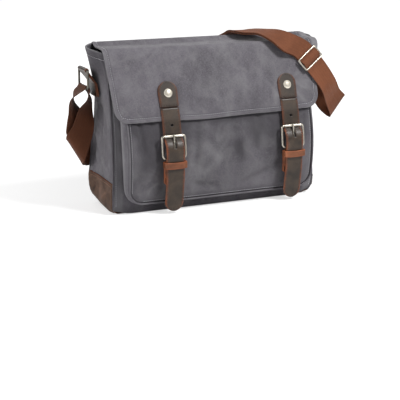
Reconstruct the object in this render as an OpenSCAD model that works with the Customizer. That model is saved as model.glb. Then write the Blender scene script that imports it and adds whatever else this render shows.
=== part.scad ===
// Canvas messenger bag: an A-shaped body with bowed side gussets, a bellows front pocket,
// a flap in two hinged runs, two buckled closing straps with hidden snaps, and a
// continuous webbing shoulder strap that hangs from a ring on each side.
// Millimetres. X runs to the right seen from the front, Y to the back, Z up.
// The origin is the centre of the base's flat underside.

/* [Body] */
// Width of the body at its base
body_w = 380; // [330:5:420]
// Height of the back panel's top edge
back_h = 284; // [270:1:300]
// How far the front panel's top edge lies below the back one
front_drop = 15.5; // [12:0.5:20]
// Depth of the body at its base
base_depth = 108; // [96:1:120]
// Depth of the body at its mouth
mouth_depth = 50; // [44:1:60]
// How far each side draws in at half height
waist_in = 6; // [0:0.5:10]
// How far each gusset bows out at the mouth
gusset_bow = 23; // [12:0.5:28]
// Thickness of a canvas wall with its backing
canvas_t = 2.4; // [1.8:0.1:2.8]
// Thickness of the loose lining
lining_t = 0.8; // [0.5:0.1:1.2]
// Height of the leather patch on each lower corner
corner_h = 54; // [40:1:70]
// How far each corner patch runs under the base
corner_under = 56; // [40:1:80]

/* [Front pocket] */
// Width of the bellows pocket
pocket_w = 344; // [300:2:352]
// Sideways place of the pocket's middle
pocket_x = 3; // [-4:1:6]
// Height of the pocket's lower edge
pocket_z0 = 16; // [12:1:24]
// How far the pocket's mouth lies below the front panel's top edge
pocket_down = 63.5; // [58:0.5:78]
// Pocket depth at its lower edge and mouth
pocket_end = 15; // [12:0.5:17]
// Extra depth at the pocket's middle
pocket_belly = 18; // [8:0.5:19]
// Radius of the pocket's lower corners
pocket_r = 28; // [15:1:45]
// Width of the pocket's edge piping
piping_w = 4.2; // [2:0.2:6]

/* [Flap] */
// Width of the flap where it folds
flap_w = 386; // [370:2:400]
// Width of the flap at its free edge
flap_end_w = 374; // [350:2:386]
// How far the flap's free edge hangs below the back panel's top edge
flap_hang = 128; // [112:1:140]
// How far the free edge stands off the pocket
flap_stand = 2.75; // [2.4:0.05:6]
// Radius of the flap's free corners
flap_r = 24; // [10:1:40]
// How far the sewn-on rear run reaches down the back panel
flap_sewn = 55; // [35:1:60]

/* [Closing straps] */
// Place of the left strap's centreline, seen from the front
strap_x_left = -92; // [-120:1:-60]
// Place of the right strap's centreline
strap_x_right = 129; // [60:1:140]
// Width of the strap
strap_w = 32; // [26:0.5:33]
// Thickness of the strap leather
strap_t = 2.6; // [2:0.1:2.8]
// How far the sewn tab's round top lies above the flap's free edge
tab_rise = 61; // [54:1:69]
// How far the cross stitch, where the strap comes free, lies above the flap's free edge
stitch_rise = 21; // [16:1:26]
// How far the spare hole lies below the cross stitch
hole_down = 29; // [26:0.5:33]
// Height of the strap's round tip
tip_z = 5; // [3:1:20]
// Thickness of the leather of the buckle's chape, keeper and patches
leather_t = 2; // [1.5:0.1:2.1]
// Radius of the rivet's head
rivet_r = 7.4; // [5:0.1:9]
// How far the rivet lies above the cross stitch
rivet_rise = 21; // [18:1:26]
// How far the snap lies below the buckle's heel bar
snap_down = 27; // [26:0.5:29]
// Radius of the snap's discs
snap_r = 9; // [7:0.1:10]

/* [Buckles] */
// Distance between the centrelines of a buckle's side bars
buckle_w = 40.5; // [40:0.5:46]
// Distance from the heel bar to the roller bar
buckle_h = 36.8; // [34:0.2:38]
// Wire radius of the buckle frame
buckle_wire = 1.9; // [1.5:0.05:2]
// Outer radius of the roller
roller_r = 2.6; // [2.2:0.05:2.8]
// Radius of the prong
prong_r = 1.3; // [1:0.05:1.4]
// How far the heel bar lies below the flap's free edge
heel_down = 61; // [59:0.5:62]

/* [Shoulder strap] */
// Width of the webbing
web_w = 38; // [36:0.5:39]
// Thickness of the webbing
web_t = 1.5; // [1.2:0.1:1.7]
// Wire radius of the side rings
ring_wire = 1.9; // [1.5:0.05:2]
// Inner width of the side rings
ring_w = 42; // [42:0.5:44]
// Distance between the ring's upper and lower bars
ring_h = 29; // [28:0.5:34]
// How far the ring's upper bar lies below the back panel's top edge
ring_down = 47; // [44:1:52]
// How far the rings stand out from the gussets
ring_out = 13.35; // [12:0.05:16]
// Length of the ring tab's tail below the ring's upper bar
tab_tail = 45; // [42:1:52]
// Width of the leather tab that holds a ring
ring_tab_w = 38; // [30:1:40]
// Distance between the slider's end wires, across the webbing
slider_w = 42.6; // [42:0.2:46]
// Distance between the slider's outer bars, along the webbing
slider_l = 22; // [21:0.5:26]
// Wire radius of the slider
slider_wire = 1.6; // [1.3:0.05:1.7]
// How far the slider lies above the flap's free edge
slider_rise = 82; // [80:1:84]
// Sideways place of the slider
slider_x = 179; // [176:1:182]

/* [Back band] */
// Length of the webbing band on the back
band_w = 273; // [230:1:300]
// Height of the band
band_h = 42; // [36:1:48]
// How far the band's lower edge lies below the back panel's top edge
band_down = 109; // [104:1:119]
// Gap between the band's middle and the back panel
band_gap = 7.8; // [6:0.2:10]
// Width of the leather patch over each end of the band
band_patch_w = 49; // [40:1:60]

/* [Inside] */
// How far the padded divider's top lies below the back panel's top edge
divider_down = 52; // [50:1:104]
// Thickness of the padded divider
divider_t = 5; // [3:0.5:8]
// Room behind the divider
divider_room = 18; // [12:0.5:22]
// Length of the inner zip
zip_w = 200; // [150:5:240]
// How far the inner zip's middle lies below the back panel's top edge
zip_down = 37; // [35:0.5:40]

/* [Hidden] */

canvas = [0.36, 0.36, 0.41];
leather = [0.30, 0.22, 0.18];
webbing = [0.45, 0.24, 0.15];
steel = [0.72, 0.70, 0.66];
dark = [0.12, 0.12, 0.13];

gap = 0.3;         // clearance between sewn or nested pieces
hair = 0.05;       // clearance of a fit that bears
run_gap = 0.12;    // clearance round a turning bar
past = 1;          // how far a cutting shape runs past what it cuts
fn_fine = 48;      // facets of a visible round
fn_wire = 32;      // facets of a wire

front_h = back_h - front_drop;
pocket_z1 = front_h - pocket_down;
flap_end_z = back_h - flap_hang;
stitch_z = flap_end_z + stitch_rise;
tab_top_z = flap_end_z + tab_rise;
rivet_z = stitch_z + rivet_rise;
heel_z = flap_end_z - heel_down;
snap_z = heel_z - snap_down;
ring_z = back_h - ring_down;
slider_z = flap_end_z + slider_rise;
band_z = back_h - band_down;
divider_top = back_h - divider_down;
zip_z = back_h - zip_down;
base_t = 2 * canvas_t - 0.2;
base_lift = leather_t + gap;
wall_z = base_t + gap;
bow_peak = 0.25;   // where across its depth the gusset bows out furthest
bow_power = 2.5;   // how late up the wall the gusset starts to bow

// ---- shape of the body -------------------------------------------------------------
// Half depth of the body at a height
function face_y(z) = base_depth / 2 - (base_depth - mouth_depth) / 2 * z / back_h;
// Half width of the body at a height
function half_w(z) = body_w / 2 - waist_in * sin(180 * z / back_h);
// How far the gusset bows out at a height, u running from -1 at the front to 1 at the back
function bow(z, u) = let (w = u < bow_peak ? (bow_peak - u) / (1 + bow_peak)
        : (u - bow_peak) / (1 - bow_peak))
    gusset_bow * pow(z / back_h, bow_power) * (1 - pow(w, 1.8));
function mix(a, b, t) = a + (b - a) * t;
function steps(a, b, n) = [for (i = [0:n]) mix(a, b, i / n)];
function unit(v) = v / norm(v);

// A YZ outline pushed along X, and an XZ outline pushed along Y
module along_x(len) { rotate([90, 0, 90]) linear_extrude(len, center = true) children(); }
module along_y(len) { rotate([90, 0, 0]) linear_extrude(len, center = true) children(); }

// A thin solid between two matching grids of points
module plate(outer, inner) {
    rows = len(outer);
    cols = len(outer[0]);
    n = rows * cols;
    pts = concat([for (r = outer) each r], [for (r = inner) each r]);
    function at(i, j) = i * cols + j;
    skin = [for (i = [0:rows - 2]) for (j = [0:cols - 2]) each
        [[at(i, j), at(i + 1, j), at(i + 1, j + 1)], [at(i, j), at(i + 1, j + 1), at(i, j + 1)]]];
    rim = concat([for (j = [0:cols - 1]) at(0, j)], [for (i = [1:rows - 1]) at(i, cols - 1)],
        [for (j = [1:cols - 1]) at(rows - 1, cols - 1 - j)], [for (i = [1:rows - 2]) at(rows - 1 - i, 0)]);
    m = len(rim);
    edge = [for (k = [0:m - 1]) let (a = rim[k], b = rim[(k + 1) % m]) each
        [[a, b, b + n], [a, b + n, a + n]]];
    polyhedron(pts, concat(skin, [for (f = skin) [for (k = [2:-1:0]) f[k] + n]], edge), convexity = 4);
}
// A solid through a stack of rings that have the same even number of points
module loft(rings) {
    m = len(rings);
    k = len(rings[0]);
    // each half of a ring is the mirror image of the other, so its quads are split the other way
    side = [for (i = [0:m - 2]) for (j = [0:k - 1]) let (a = i * k + j, b = i * k + (j + 1) % k) each
        j < k / 2 ? [[a, a + k, b + k], [a, b + k, b]] : [[a, a + k, b], [b, a + k, b + k]]];
    cap = [for (j = [0:k / 2 - 2]) [j, j + 1, k - 2 - j, k - 1 - j]];
    lid = [for (f = cap) [for (i = [3:-1:0]) f[i] + (m - 1) * k]];
    polyhedron([for (r = rings) each r], concat(side, cap, lid), convexity = 4);
}
// The body's outline seen from the front, drawn in by inset
module wall_outline(z0, z1, inset = 0) {
    zs = steps(z0, z1, 8);
    polygon(concat([for (z = zs) [half_w(z) - inset, z]],
        [for (i = [8:-1:0]) [inset - half_w(zs[i]), zs[i]]]));
}
// A band of wall between two depths, as a YZ outline
module wall_band(z0, z1, d0, d1, side) {
    polygon([[side * (face_y(z0) + d0), z0], [side * (face_y(z1) + d0), z1],
        [side * (face_y(z1) + d1), z1], [side * (face_y(z0) + d1), z0]]);
}

// ---- body ---------------------------------------------------------------------------
module wall_panel(top, side) {
    intersection() {
        along_x(body_w + past) wall_band(wall_z, top, 0, -canvas_t, side);
        along_y(base_depth + past) wall_outline(wall_z, top);
    }
}
module back_panel() { color(canvas) wall_panel(back_h, 1); }
module front_panel() { color(canvas) wall_panel(front_h, -1); }
module base_panel() {
    mid = body_w - 2 * (corner_under + gap);
    color(canvas) union() {
        translate([-mid / 2, -base_depth / 2, 0]) cube([mid, base_depth, base_t]);
        translate([-body_w / 2, -base_depth / 2, base_lift]) cube([body_w, base_depth, base_t - base_lift]);
    }
}
gusset_us = [-1, -0.8, -0.55, -0.25, 0, bow_peak, 0.45, 0.65, 0.85, 1];
function rim_z(u) = mix(front_h, back_h, (u + 1) / 2);
// A grid over the gusset from height z0 to its rim (or z1), stood off its outer face by off
function gusset_grid(side, z0, z1, off, n) = [for (v = steps(0, 1, n)) [for (u = gusset_us)
    let (z = mix(z0, is_undef(z1) ? rim_z(u) : z1, v))
    [side * (half_w(z) + bow(z, u) + off), u * (face_y(z) - canvas_t - gap), z]]];
module side_gusset(side) {
    outer = gusset_grid(side, wall_z, undef, 0, 9);
    inner = gusset_grid(side, wall_z, undef, -canvas_t, 9);
    color(canvas) if (side > 0) plate(outer, inner); else plate(inner, outer);
}
module corner_patch(side) {
    outer = gusset_grid(side, 0, corner_h, gap + leather_t, 3);
    inner = gusset_grid(side, 0, corner_h, gap, 3);
    reach = corner_under + leather_t;
    depth = 2 * (face_y(0) - canvas_t - gap) - 2 * hair;
    color(leather) union() {
        if (side > 0) plate(outer, inner); else plate(inner, outer);
        translate([side * (body_w / 2 - corner_under + reach / 2), 0, leather_t / 2])
            cube([reach, depth, leather_t], center = true);
    }
}
lining_top = front_h - 8;
slack = 0.9;         // extra room between the loose lining and the gussets
// The left side runs the other way, so its bow is mirrored back to front
function body_ring(z, inset) = concat(
    [for (u = gusset_us) [half_w(z) + bow(z, u) - inset - slack, u * (face_y(z) - inset), z]],
    [for (i = [len(gusset_us) - 1:-1:0]) let (u = gusset_us[i])
        [inset + slack - half_w(z) - bow(z, u), u * (face_y(z) - inset), z]]);
module lining() {
    out = canvas_t + gap;
    color(dark) difference() {
        loft([for (z = steps(wall_z + gap, lining_top, 7)) body_ring(z, out)]);
        loft([for (z = steps(wall_z + gap + lining_t, lining_top + past, 7)) body_ring(z, out + lining_t)]);
    }
}
lining_in = canvas_t + gap + lining_t;
module laptop_divider() {
    z0 = wall_z + 2 * gap + lining_t;
    d = lining_in + gap + divider_room;
    color(dark) intersection() {
        along_x(body_w) wall_band(z0, divider_top, -d, -d - divider_t, 1);
        along_y(base_depth) wall_outline(z0, divider_top, lining_in + slack + gap);
    }
}
zip_tape_h = 16;
zip_tape_t = 0.8;
zip_chain_h = 5;
zip_chain_t = 1.4;
module inner_zip() {
    z0 = zip_z - zip_tape_h / 2;
    d = lining_in + hair;
    color(dark) along_x(zip_w) wall_band(z0, z0 + zip_tape_h, -d, -d - zip_tape_t, 1);
    color(steel) along_x(zip_w - 12)
        wall_band(zip_z - zip_chain_h / 2, zip_z + zip_chain_h / 2, -d - hair, -d - zip_tape_t - zip_chain_t, 1);
}
module zip_slider() {
    y = face_y(zip_z) - lining_in - zip_tape_t - zip_chain_t - 2 * gap;
    travel = zip_w / 2 - 16;
    color(steel) union() {
        translate([-travel, y - 1.5, zip_z]) cube([9, 3, 8], center = true);
        translate([-travel, y - 3.2, zip_z - 9]) cube([5, 1.4, 22], center = true);
    }
}

// ---- front pocket --------------------------------------------------------------------
function pocket_y(z) = face_y(z) + pocket_end
    + pocket_belly * sin(180 * (z - pocket_z0) / (pocket_z1 - pocket_z0));
module pocket_outline(inset = 0, over = 0) {
    r = max(pocket_r - inset, 1);
    w = pocket_w / 2 - inset;
    z0 = pocket_z0 + inset;
    z1 = pocket_z1 + over;
    arc = [for (a = steps(0, 90, 10)) r * [sin(a), 1 - cos(a)]];
    translate([pocket_x, 0]) polygon(concat([for (p = arc) [w - r + p[0], z0 + p[1]]], [[w, z1], [-w, z1]],
        [for (i = [10:-1:0]) [r - w - arc[i][0], z0 + arc[i][1]]]));
}
// The space from the pocket's front face drawn back by d0 to the same face drawn back by d1
module pocket_layer(d0, d1) {
    zs = steps(pocket_z0, pocket_z1, 12);
    along_x(pocket_w + 20) polygon(concat([for (z = zs) [-pocket_y(z) + d0, z]],
        [for (i = [12:-1:0]) [-pocket_y(zs[i]) + d1, zs[i]]]));
}
module front_pocket_panel() {
    color(canvas) intersection() {
        pocket_layer(0, canvas_t);
        along_y(2 * base_depth) difference() {
            pocket_outline();
            pocket_rim(piping_w + gap);
        }
    }
}
// The strip along the pocket's sides and lower edge, seen from the front
module pocket_rim(w) {
    difference() {
        translate([pocket_x - pocket_w, pocket_z0 - past]) square([2 * pocket_w, pocket_z1 - pocket_z0 + 2 * past]);
        pocket_outline(w, past + 1);
    }
}
module front_pocket_gusset() {
    zs = steps(pocket_z0, pocket_z1, 12);
    color(canvas) intersection() {
        along_x(pocket_w + 20) polygon(concat([for (z = zs) [-pocket_y(z) + canvas_t + gap, z]],
            [[-face_y(pocket_z1) - gap, pocket_z1], [-face_y(pocket_z0) - gap, pocket_z0]]));
        along_y(2 * base_depth) difference() {
            pocket_outline();
            pocket_outline(canvas_t, past);
        }
    }
}
piping_out = 0.9;    // how far the piping stands in front of the pocket's panel
module pocket_piping() {
    color(canvas) intersection() {
        pocket_layer(-piping_out, canvas_t);
        along_y(2 * base_depth) difference() {
            pocket_outline();
            pocket_outline(piping_w, past);
        }
    }
}

// ---- flap -----------------------------------------------------------------------------
// Fold lines, as [y, z]: one over the back panel's top edge, one over the front panel's
fold_keep = 2.2;    // how far each run of canvas stops from its fold line
back_fold = [face_y(back_h) + gap + canvas_t / 2, back_h + canvas_t + 0.5];
front_fold = [-face_y(front_h) - 3.6, front_h + 1.6];
free_edge = [-pocket_y(flap_end_z) - flap_stand, flap_end_z];
flap_dir = unit(free_edge - front_fold);
flap_out = [flap_dir[1], -flap_dir[0]];                  // square to the flap's front, outwards
function flap_face(z) = let (t = (z - front_fold[1]) / flap_dir[1]) front_fold + flap_dir * t
    + flap_out * canvas_t / 2;
module flap_run(a, b, cut_a, cut_b) {
    d = unit(b - a);
    n = [-d[1], d[0]] * canvas_t / 2;
    p = a + d * cut_a;
    q = b - d * cut_b;
    polygon([p + n, q + n, q - n, p - n]);
}
module flap_back() {
    z1 = back_fold[1] - fold_keep;
    z0 = back_h - flap_sewn;
    color(canvas) intersection() {
        along_x(flap_w) wall_band(z0, z1, gap, gap + canvas_t, 1);
        along_y(base_depth) polygon([[-0.445 * flap_w, z0], [0.445 * flap_w, z0],
            [flap_w / 2 - gap, z1], [gap - flap_w / 2, z1]]);
    }
}
module flap_top() {
    color(canvas) along_x(flap_w) flap_run(back_fold, front_fold, fold_keep, fold_keep);
}
module flap_front() {
    r = flap_r;
    w = flap_end_w / 2;
    color(canvas) difference() {
        intersection() {
            along_x(flap_w) flap_run(front_fold, free_edge, fold_keep, 0);
            along_y(3 * base_depth) hull() {
                for (s = [-1, 1]) translate([s * (w - r), flap_end_z + r]) circle(r, $fn = fn_fine);
                translate([-flap_w / 2, front_fold[1]]) square([flap_w, past]);
            }
        }
        for (x = [strap_x_left, strap_x_right]) on_flap(x, rivet_z)
            cylinder(h = 4 * canvas_t, r = shank_r + hair, center = true, $fn = fn_wire);
    }
}
// Sets children on the flap's outer face at a height, +Z outwards and +Y up the flap
flap_lean = atan2(-flap_dir[0], -flap_dir[1]);      // angle of the flap's front from upright
module on_flap(x, z) {
    p = flap_face(z);
    translate([x, p[0], p[1]]) rotate([90 - flap_lean, 0, 0]) children();
}

// ---- back band -------------------------------------------------------------------------
band_free = band_w / 2 - band_patch_w;
function band_off(x) = gap + (abs(x) < band_free ? (band_gap - gap) * (1 - pow(x / band_free, 2)) : 0);
function band_grid(extra) = [for (z = [band_z, band_z + band_h]) [for (x = steps(-band_w / 2, band_w / 2, 22))
    [x, face_y(z) + band_off(x) + extra, z]]];
module back_band() { color(webbing) plate(band_grid(web_t), band_grid(0)); }
module band_patch(side) {
    over = 2.5;     // how far the patch reaches past the webbing on each edge
    d = 2 * gap + web_t;
    x = side * (band_w / 2 + over - band_patch_w / 2);
    color(leather) intersection() {
        translate([x, 0, band_z + band_h / 2]) cube([band_patch_w, 2 * base_depth, band_h + 2 * over], center = true);
        along_x(body_w) wall_band(band_z - over, band_z + band_h + over, d, d + leather_t, 1);
    }
}

// ---- side rings -------------------------------------------------------------------------
ring_x = half_w(ring_z) + bow(ring_z, bow_peak) + ring_out;
ring_y = bow_peak * (face_y(ring_z) - canvas_t);
ring_r = 4;        // corner radius of the ring's wire
module wire_rect(w, l, r, wire) {
    // centrelines of a rectangle w by l in the XY plane, centred
    for (s = [-1, 1]) {
        translate([s * w / 2, 0, 0]) rotate([90, 0, 0])
            cylinder(h = l - 2 * r, r = wire, center = true, $fn = fn_wire);
        translate([0, s * l / 2, 0]) rotate([0, 90, 0])
            cylinder(h = w - 2 * r, r = wire, center = true, $fn = fn_wire);
        for (t = [-1, 1]) translate([s * (w / 2 - r), t * (l / 2 - r), 0])
            rotate([0, 0, s > 0 ? (t > 0 ? 0 : 270) : (t > 0 ? 90 : 180)])
            rotate_extrude(angle = 90, $fn = fn_fine) translate([r, 0]) circle(wire, $fn = fn_wire);
    }
}
module side_ring(side) {
    color(steel) translate([side * ring_x, ring_y, ring_z - ring_h / 2]) rotate([0, 90, 0])
        wire_rect(ring_h, ring_w + 2 * ring_wire, ring_r, ring_wire);
}
tab_leaf = 2 * leather_t + gap;       // two layers of leather sewn together
function side_x(z) = half_w(z) + bow(z, bow_peak);
module ring_tab(side) {
    bore = ring_wire + run_gap;
    low = ring_z - tab_tail;
    lie = ring_z - tab_tail / 2;
    inner = [[side_x(low) + gap, low], [side_x(lie) + gap, lie], [ring_x - bore - leather_t, ring_z]];
    leaf = [tab_leaf, 0];
    color(leather) translate([0, ring_y, 0]) mirror([side > 0 ? 0 : 1, 0, 0]) difference() {
        along_y(ring_tab_w) union() {
            translate([ring_x, ring_z]) circle(bore + leather_t, $fn = fn_fine);
            polygon([inner[0], inner[0] + leaf, inner[1] + leaf, inner[2] + leaf + [1, 0],
                inner[2] + [0.3, 0], inner[1]]);
        }
        translate([ring_x, 0, ring_z]) rotate([90, 0, 0])
            cylinder(h = ring_tab_w + past, r = bore, center = true, $fn = fn_wire);
    }
}

// ---- shoulder strap ------------------------------------------------------------------------
// The webbing's route as pairs of edge points. It leaves the slider, runs back over the top and
// down behind the body, folds below the left ring, climbs to the ring and comes back the same
// way beside itself, passes the slider and ends round the right ring.
route_ring_x = 215;            // the ring's place for which the points below are laid out
// The same rungs, spread sideways as far as the rings are
function spread(rungs) = [for (r = rungs) [for (p = r) [p[0] * ring_x / route_ring_x, p[1], p[2]]]];
over_run = spread([   // behind the body and over the top, from the low fold to the slider
    [[-174, 60, 102], [-181, 61, 64]],
    [[-133, 61, 101], [-124, 63, 64]],
    [[-94, 59, 120], [-70, 61, 91]],
    [[-63, 56, 159], [-33, 58, 136]],
    [[-36, 53, 203], [-4, 55, 183]],
    [[-9, 50, 242], [25, 52, 226]],
    [[16, 41, 276], [50, 44, 260]],
    [[27, 33, 288], [61, 42, 278]],
    [[36, 20, 293.5], [70, 35, 289]],
    [[56, -4, 290], [88, 18.5, 294]],
    [[80, -22, 284], [109, 1, 294]],
    [[103, -38.5, 273], [131, -16, 289.5]],
    [[124, -47.5, 256.5], [151, -34, 281]]]);
low_fold = spread([[[-238.5, 33, 122], [-208.5, 32, 78]], [[-232, 44, 113], [-206, 47, 68]]]);
front_leaf = spread([   // from the left ring's inner side down to the low fold
    [[-216, -13, 190], [-199, 21, 188]],
    [[-224, 0, 175], [-196, 24, 165]],
    [[-232, 18, 142], [-194, 24, 134]]]);
back_leaf = spread([    // from the left ring's outer side down to the low fold
    [[-228, -11, 201], [-225, 27, 200]],
    [[-238, -6, 193], [-226, 29, 187]],
    [[-240, 14, 161], [-208, 34, 158]],
    [[-240, 27, 139], [-203, 35, 131]]]);
end_run = spread([      // from the slider down to the right-hand fold and up to the right ring
    [[196, -60, 185], [228, -49, 204]],
    [[214, -45, 160], [247, -35, 181]],
    [[239, -17, 127], [263, -26, 167]],
    [[231, -2, 147], [249, -18, 178]],
    [[223, 18, 171], [234, -14, 189]],
    [[220, 25, 200], [220.5, -12, 201]]]);
ply = (web_t + 0.5) / 2;       // half the pitch of two webbing layers that lie together
slider_turn = 54;              // angle of the webbing below level where the slider sits
slider_off = 6.4;              // height of the slider's plane over the flap
slider_bar = slider_wire - 0.1;   // radius of the slider's middle bar
over_bar = slider_bar + gap + web_t / 2;
under_bar = -slider_wire - gap - web_t / 2;
slider_at = [slider_x, flap_face(slider_z)[0], flap_face(slider_z)[1]]
    + slider_off * [0, flap_out[0], flap_out[1]];
down_flap = [0, flap_dir[0], flap_dir[1]];
slider_s = cos(slider_turn) * [1, 0, 0] + sin(slider_turn) * down_flap;     // along the webbing
slider_v = sin(slider_turn) * [1, 0, 0] - cos(slider_turn) * down_flap;     // across it
slider_n = cross(slider_s, slider_v);                                       // out of the flap
function slider_rung(s, n) = let (c = slider_at + s * slider_s + n * slider_n)
    [c - slider_v * web_w / 2, c + slider_v * web_w / 2];
// The webbing's turn over a ring's lower bar, from the outer side to the inner one
turn_r = ring_wire + gap + web_t / 2 + 0.1;
function ring_turn(side) = [for (a = steps(0, 180, 4))
    let (x = side * (ring_x + turn_r * cos(a)), z = ring_z - ring_h + turn_r * sin(a))
    [[x, ring_y - side * -web_w / 2, z], [x, ring_y + side * -web_w / 2, z]]];
function back_to_front(list) = [for (i = [len(list) - 1:-1:0]) list[i]];
function middle(r) = (r[0] + r[1]) / 2;
function rung_normal(rungs, i) = let (n = len(rungs))
    unit(cross(rungs[i][1] - rungs[i][0], middle(rungs[min(i + 1, n - 1)]) - middle(rungs[max(i - 1, 0)])));
doubled = concat([front_leaf[2]], low_fold, over_run);     // the stretch where two layers lie together
// The layers open out a little at the low fold, where the webbing turns sharply
function layer(d) = [for (i = [1:len(doubled) - 1]) let (h = rung_normal(doubled, i) * d * (i < 3 ? 2 : 1))
    [doubled[i][0] + h, doubled[i][1] + h]];
end_leaf = spread([[[213.8, 26, 203], [213.8, -12, 203]], [[216.8, 25, 194], [217.6, -12, 196]]]);
webbing_route = concat([slider_rung(-3, under_bar - 2 * ply), slider_rung(-slider_l / 2 - 4, under_bar - 2 * ply)],
    back_to_front(layer(ply)), back_to_front(back_leaf), ring_turn(-1), front_leaf, layer(-ply),
    [slider_rung(-slider_l / 2 - 4, under_bar), slider_rung(1 - slider_l / 2, under_bar),
    slider_rung(-2, over_bar), slider_rung(2, over_bar),
    slider_rung(slider_l / 2 - 1, under_bar), slider_rung(slider_l / 2 + 4, under_bar)],
    end_run, ring_turn(1), end_leaf);
// The same route with each stretch cut in three, so that its twisted faces stay close to flat
webbing_rungs = concat([for (i = [0:len(webbing_route) - 2]) for (k = [0:2])
    mix(webbing_route[i], webbing_route[i + 1], k / 3)], [webbing_route[len(webbing_route) - 1]]);
module shoulder_webbing() {
    color(webbing) loft([for (i = [0:len(webbing_rungs) - 1])
        let (a = webbing_rungs[i][0], b = webbing_rungs[i][1],
            h = rung_normal(webbing_rungs, i) * web_t / 2)
        [a + h, b + h, b - h, a - h]]);
}
module strap_slider() {
    m = [for (k = [0:2]) [slider_v[k], slider_s[k], -slider_n[k], slider_at[k]]];
    color(steel) multmatrix([m[0], m[1], m[2], [0, 0, 0, 1]]) union() {
        wire_rect(slider_w, slider_l, 3, slider_wire);
        rotate([0, 90, 0]) cylinder(h = slider_w, r = slider_bar, center = true, $fn = fn_wire);
    }
}

// ---- closing straps --------------------------------------------------------------------------
// Depths of what lies between the pocket and the strap, counted outwards from the pocket
shank_r = 2;
patch_low = 18;                 // how far the patch reaches below and above the snap
patch_high = 16;
patch_z0 = snap_z - patch_low;
patch_z1 = snap_z + patch_high;
chape_front_z = snap_z - 7;     // lower end of the chape's front leaf
socket_t = 1.8;
stud_t = 1.6;
pocket_peak = max([for (z = [patch_z0:2:heel_z + 8]) pocket_y(z)]);
patch_y = -pocket_peak - gap;
socket_y = patch_y - leather_t;
stud_y = socket_y - socket_t - gap;
chape_y = stud_y - stud_t;
heel_y = chape_y - leather_t - hair;           // the heel bar lies between the chape's leaves
strap_low_y = chape_y - 2 * leather_t - 3 * hair - gap;
wrap_r = buckle_wire + run_gap + leather_t;
roller_y = flap_face(flap_end_z)[0] - gap - strap_t - roller_r - 4.4;
roller_z = heel_z + sqrt(pow(buckle_h, 2) - pow(roller_y - heel_y, 2));
buckle_tilt = atan2(roller_y - heel_y, roller_z - heel_z);
strap_bend = 6;                                // length over which the strap eases round a bend
function rise(p, q) = unit(q - p);
// The back face of the free strap as [y, z], from the cross stitch to the tip
strap_back = [flap_face(stitch_z - fold_keep) + flap_out * gap,
    flap_face(flap_end_z - 1) + flap_out * gap,
    [roller_y + roller_r + gap + strap_t, roller_z + 5],
    [roller_y + roller_r + gap + strap_t, roller_z - 2],
    [heel_y - wrap_r - gap, heel_z + 3],
    [heel_y - wrap_r - gap, heel_z - 3],
    [strap_low_y, heel_z - 9],
    [strap_low_y, snap_z - snap_r],
    [strap_low_y + 6.5, tip_z + 14],
    [strap_low_y + 7.5, tip_z]];
function away(i) = let (n = len(strap_back), t = unit(strap_back[min(i + 1, n - 1)]
    - strap_back[max(i - 1, 0)])) [t[1], -t[0]];
module strap_side_view() {
    n = len(strap_back);
    polygon(concat(strap_back, [for (i = [n - 1:-1:0]) strap_back[i] + away(i) * strap_t]));
}
slot_z = heel_z + 12;           // the punched slot that the prong comes through
slot_h = 20;
module strap_front_view(x, z0, z1) {
    w = strap_w / 2;
    translate([x, 0]) hull() {
        translate([0, z0 + w]) circle(w, $fn = fn_fine);
        translate([-w, z1 - 1]) square([strap_w, 1]);
    }
}
module closing_strap(x) {
    color(leather) difference() {
        intersection() {
            along_x(2 * body_w) strap_side_view();
            along_y(3 * base_depth) strap_front_view(x, tip_z, stitch_z);
        }
        along_y(3 * base_depth) translate([x, slot_z]) hull()
            for (s = [-1, 1]) translate([0, s * (slot_h / 2 - prong_r - gap)]) circle(prong_r + gap, $fn = 24);
        translate([x, 0, stitch_z - hole_down]) rotate([90, 0, 0])
            cylinder(h = 3 * base_depth, r = 1.8, center = true, $fn = 24);
    }
}
module strap_tab(x) {
    w = strap_w / 2 + 1;
    a = flap_face(tab_top_z) + flap_out * hair;
    b = flap_face(stitch_z) + flap_out * hair;
    color(leather) difference() {
        intersection() {
            along_x(2 * body_w) polygon([a, b, b + flap_out * strap_t, a + flap_out * strap_t]);
            along_y(3 * base_depth) translate([x, 0]) hull() {
                translate([0, tab_top_z - w]) circle(w, $fn = fn_fine);
                translate([-w, stitch_z - 2]) square([2 * w, 1]);
            }
        }
        on_flap(x, rivet_z) cylinder(h = 4 * strap_t, r = shank_r + hair, $fn = fn_wire);
    }
}
module rivet(x) {
    head = 2 * hair + strap_t;
    dome = 1.6;
    cap = -canvas_t - hair;
    color(steel) on_flap(x, rivet_z) rotate_extrude($fn = fn_fine) polygon([[0, cap - 1], [5, cap - 1],
        [5, cap], [shank_r, cap], [shank_r, head], [rivet_r, head], [rivet_r, head + 0.6],
        [0.7 * rivet_r, head + dome], [0, head + dome + 0.5]]);
}
module buckle_place(x) {
    translate([x, heel_y, heel_z]) rotate([-buckle_tilt, 0, 0]) rotate([90, 0, 0]) children();
}
module buckle_frame(x) {
    w = buckle_w / 2;
    low_r = 6.5;
    top_r = 3;
    color(steel) buckle_place(x) union() {
        rotate([0, 90, 0]) cylinder(h = buckle_w - 2 * low_r, r = buckle_wire, center = true, $fn = fn_wire);
        translate([0, buckle_h, 0]) rotate([0, 90, 0])
            cylinder(h = buckle_w - 2 * top_r, r = roller_bar_r, center = true, $fn = fn_wire);
        for (s = [-1, 1]) {
            translate([s * w, low_r, 0]) rotate([-90, 0, 0])
                cylinder(h = buckle_h - low_r - top_r, r = buckle_wire, $fn = fn_wire);
            translate([s * (w - low_r), low_r, 0]) rotate([0, 0, s > 0 ? 270 : 180])
                rotate_extrude(angle = 90, $fn = fn_fine) translate([low_r, 0]) circle(buckle_wire, $fn = fn_wire);
            translate([s * (w - top_r), buckle_h - top_r, 0]) rotate([0, 0, s > 0 ? 0 : 90])
                rotate_extrude(angle = 90, $fn = fn_fine) translate([top_r, 0]) circle(buckle_wire, $fn = fn_wire);
        }
    }
}
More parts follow.
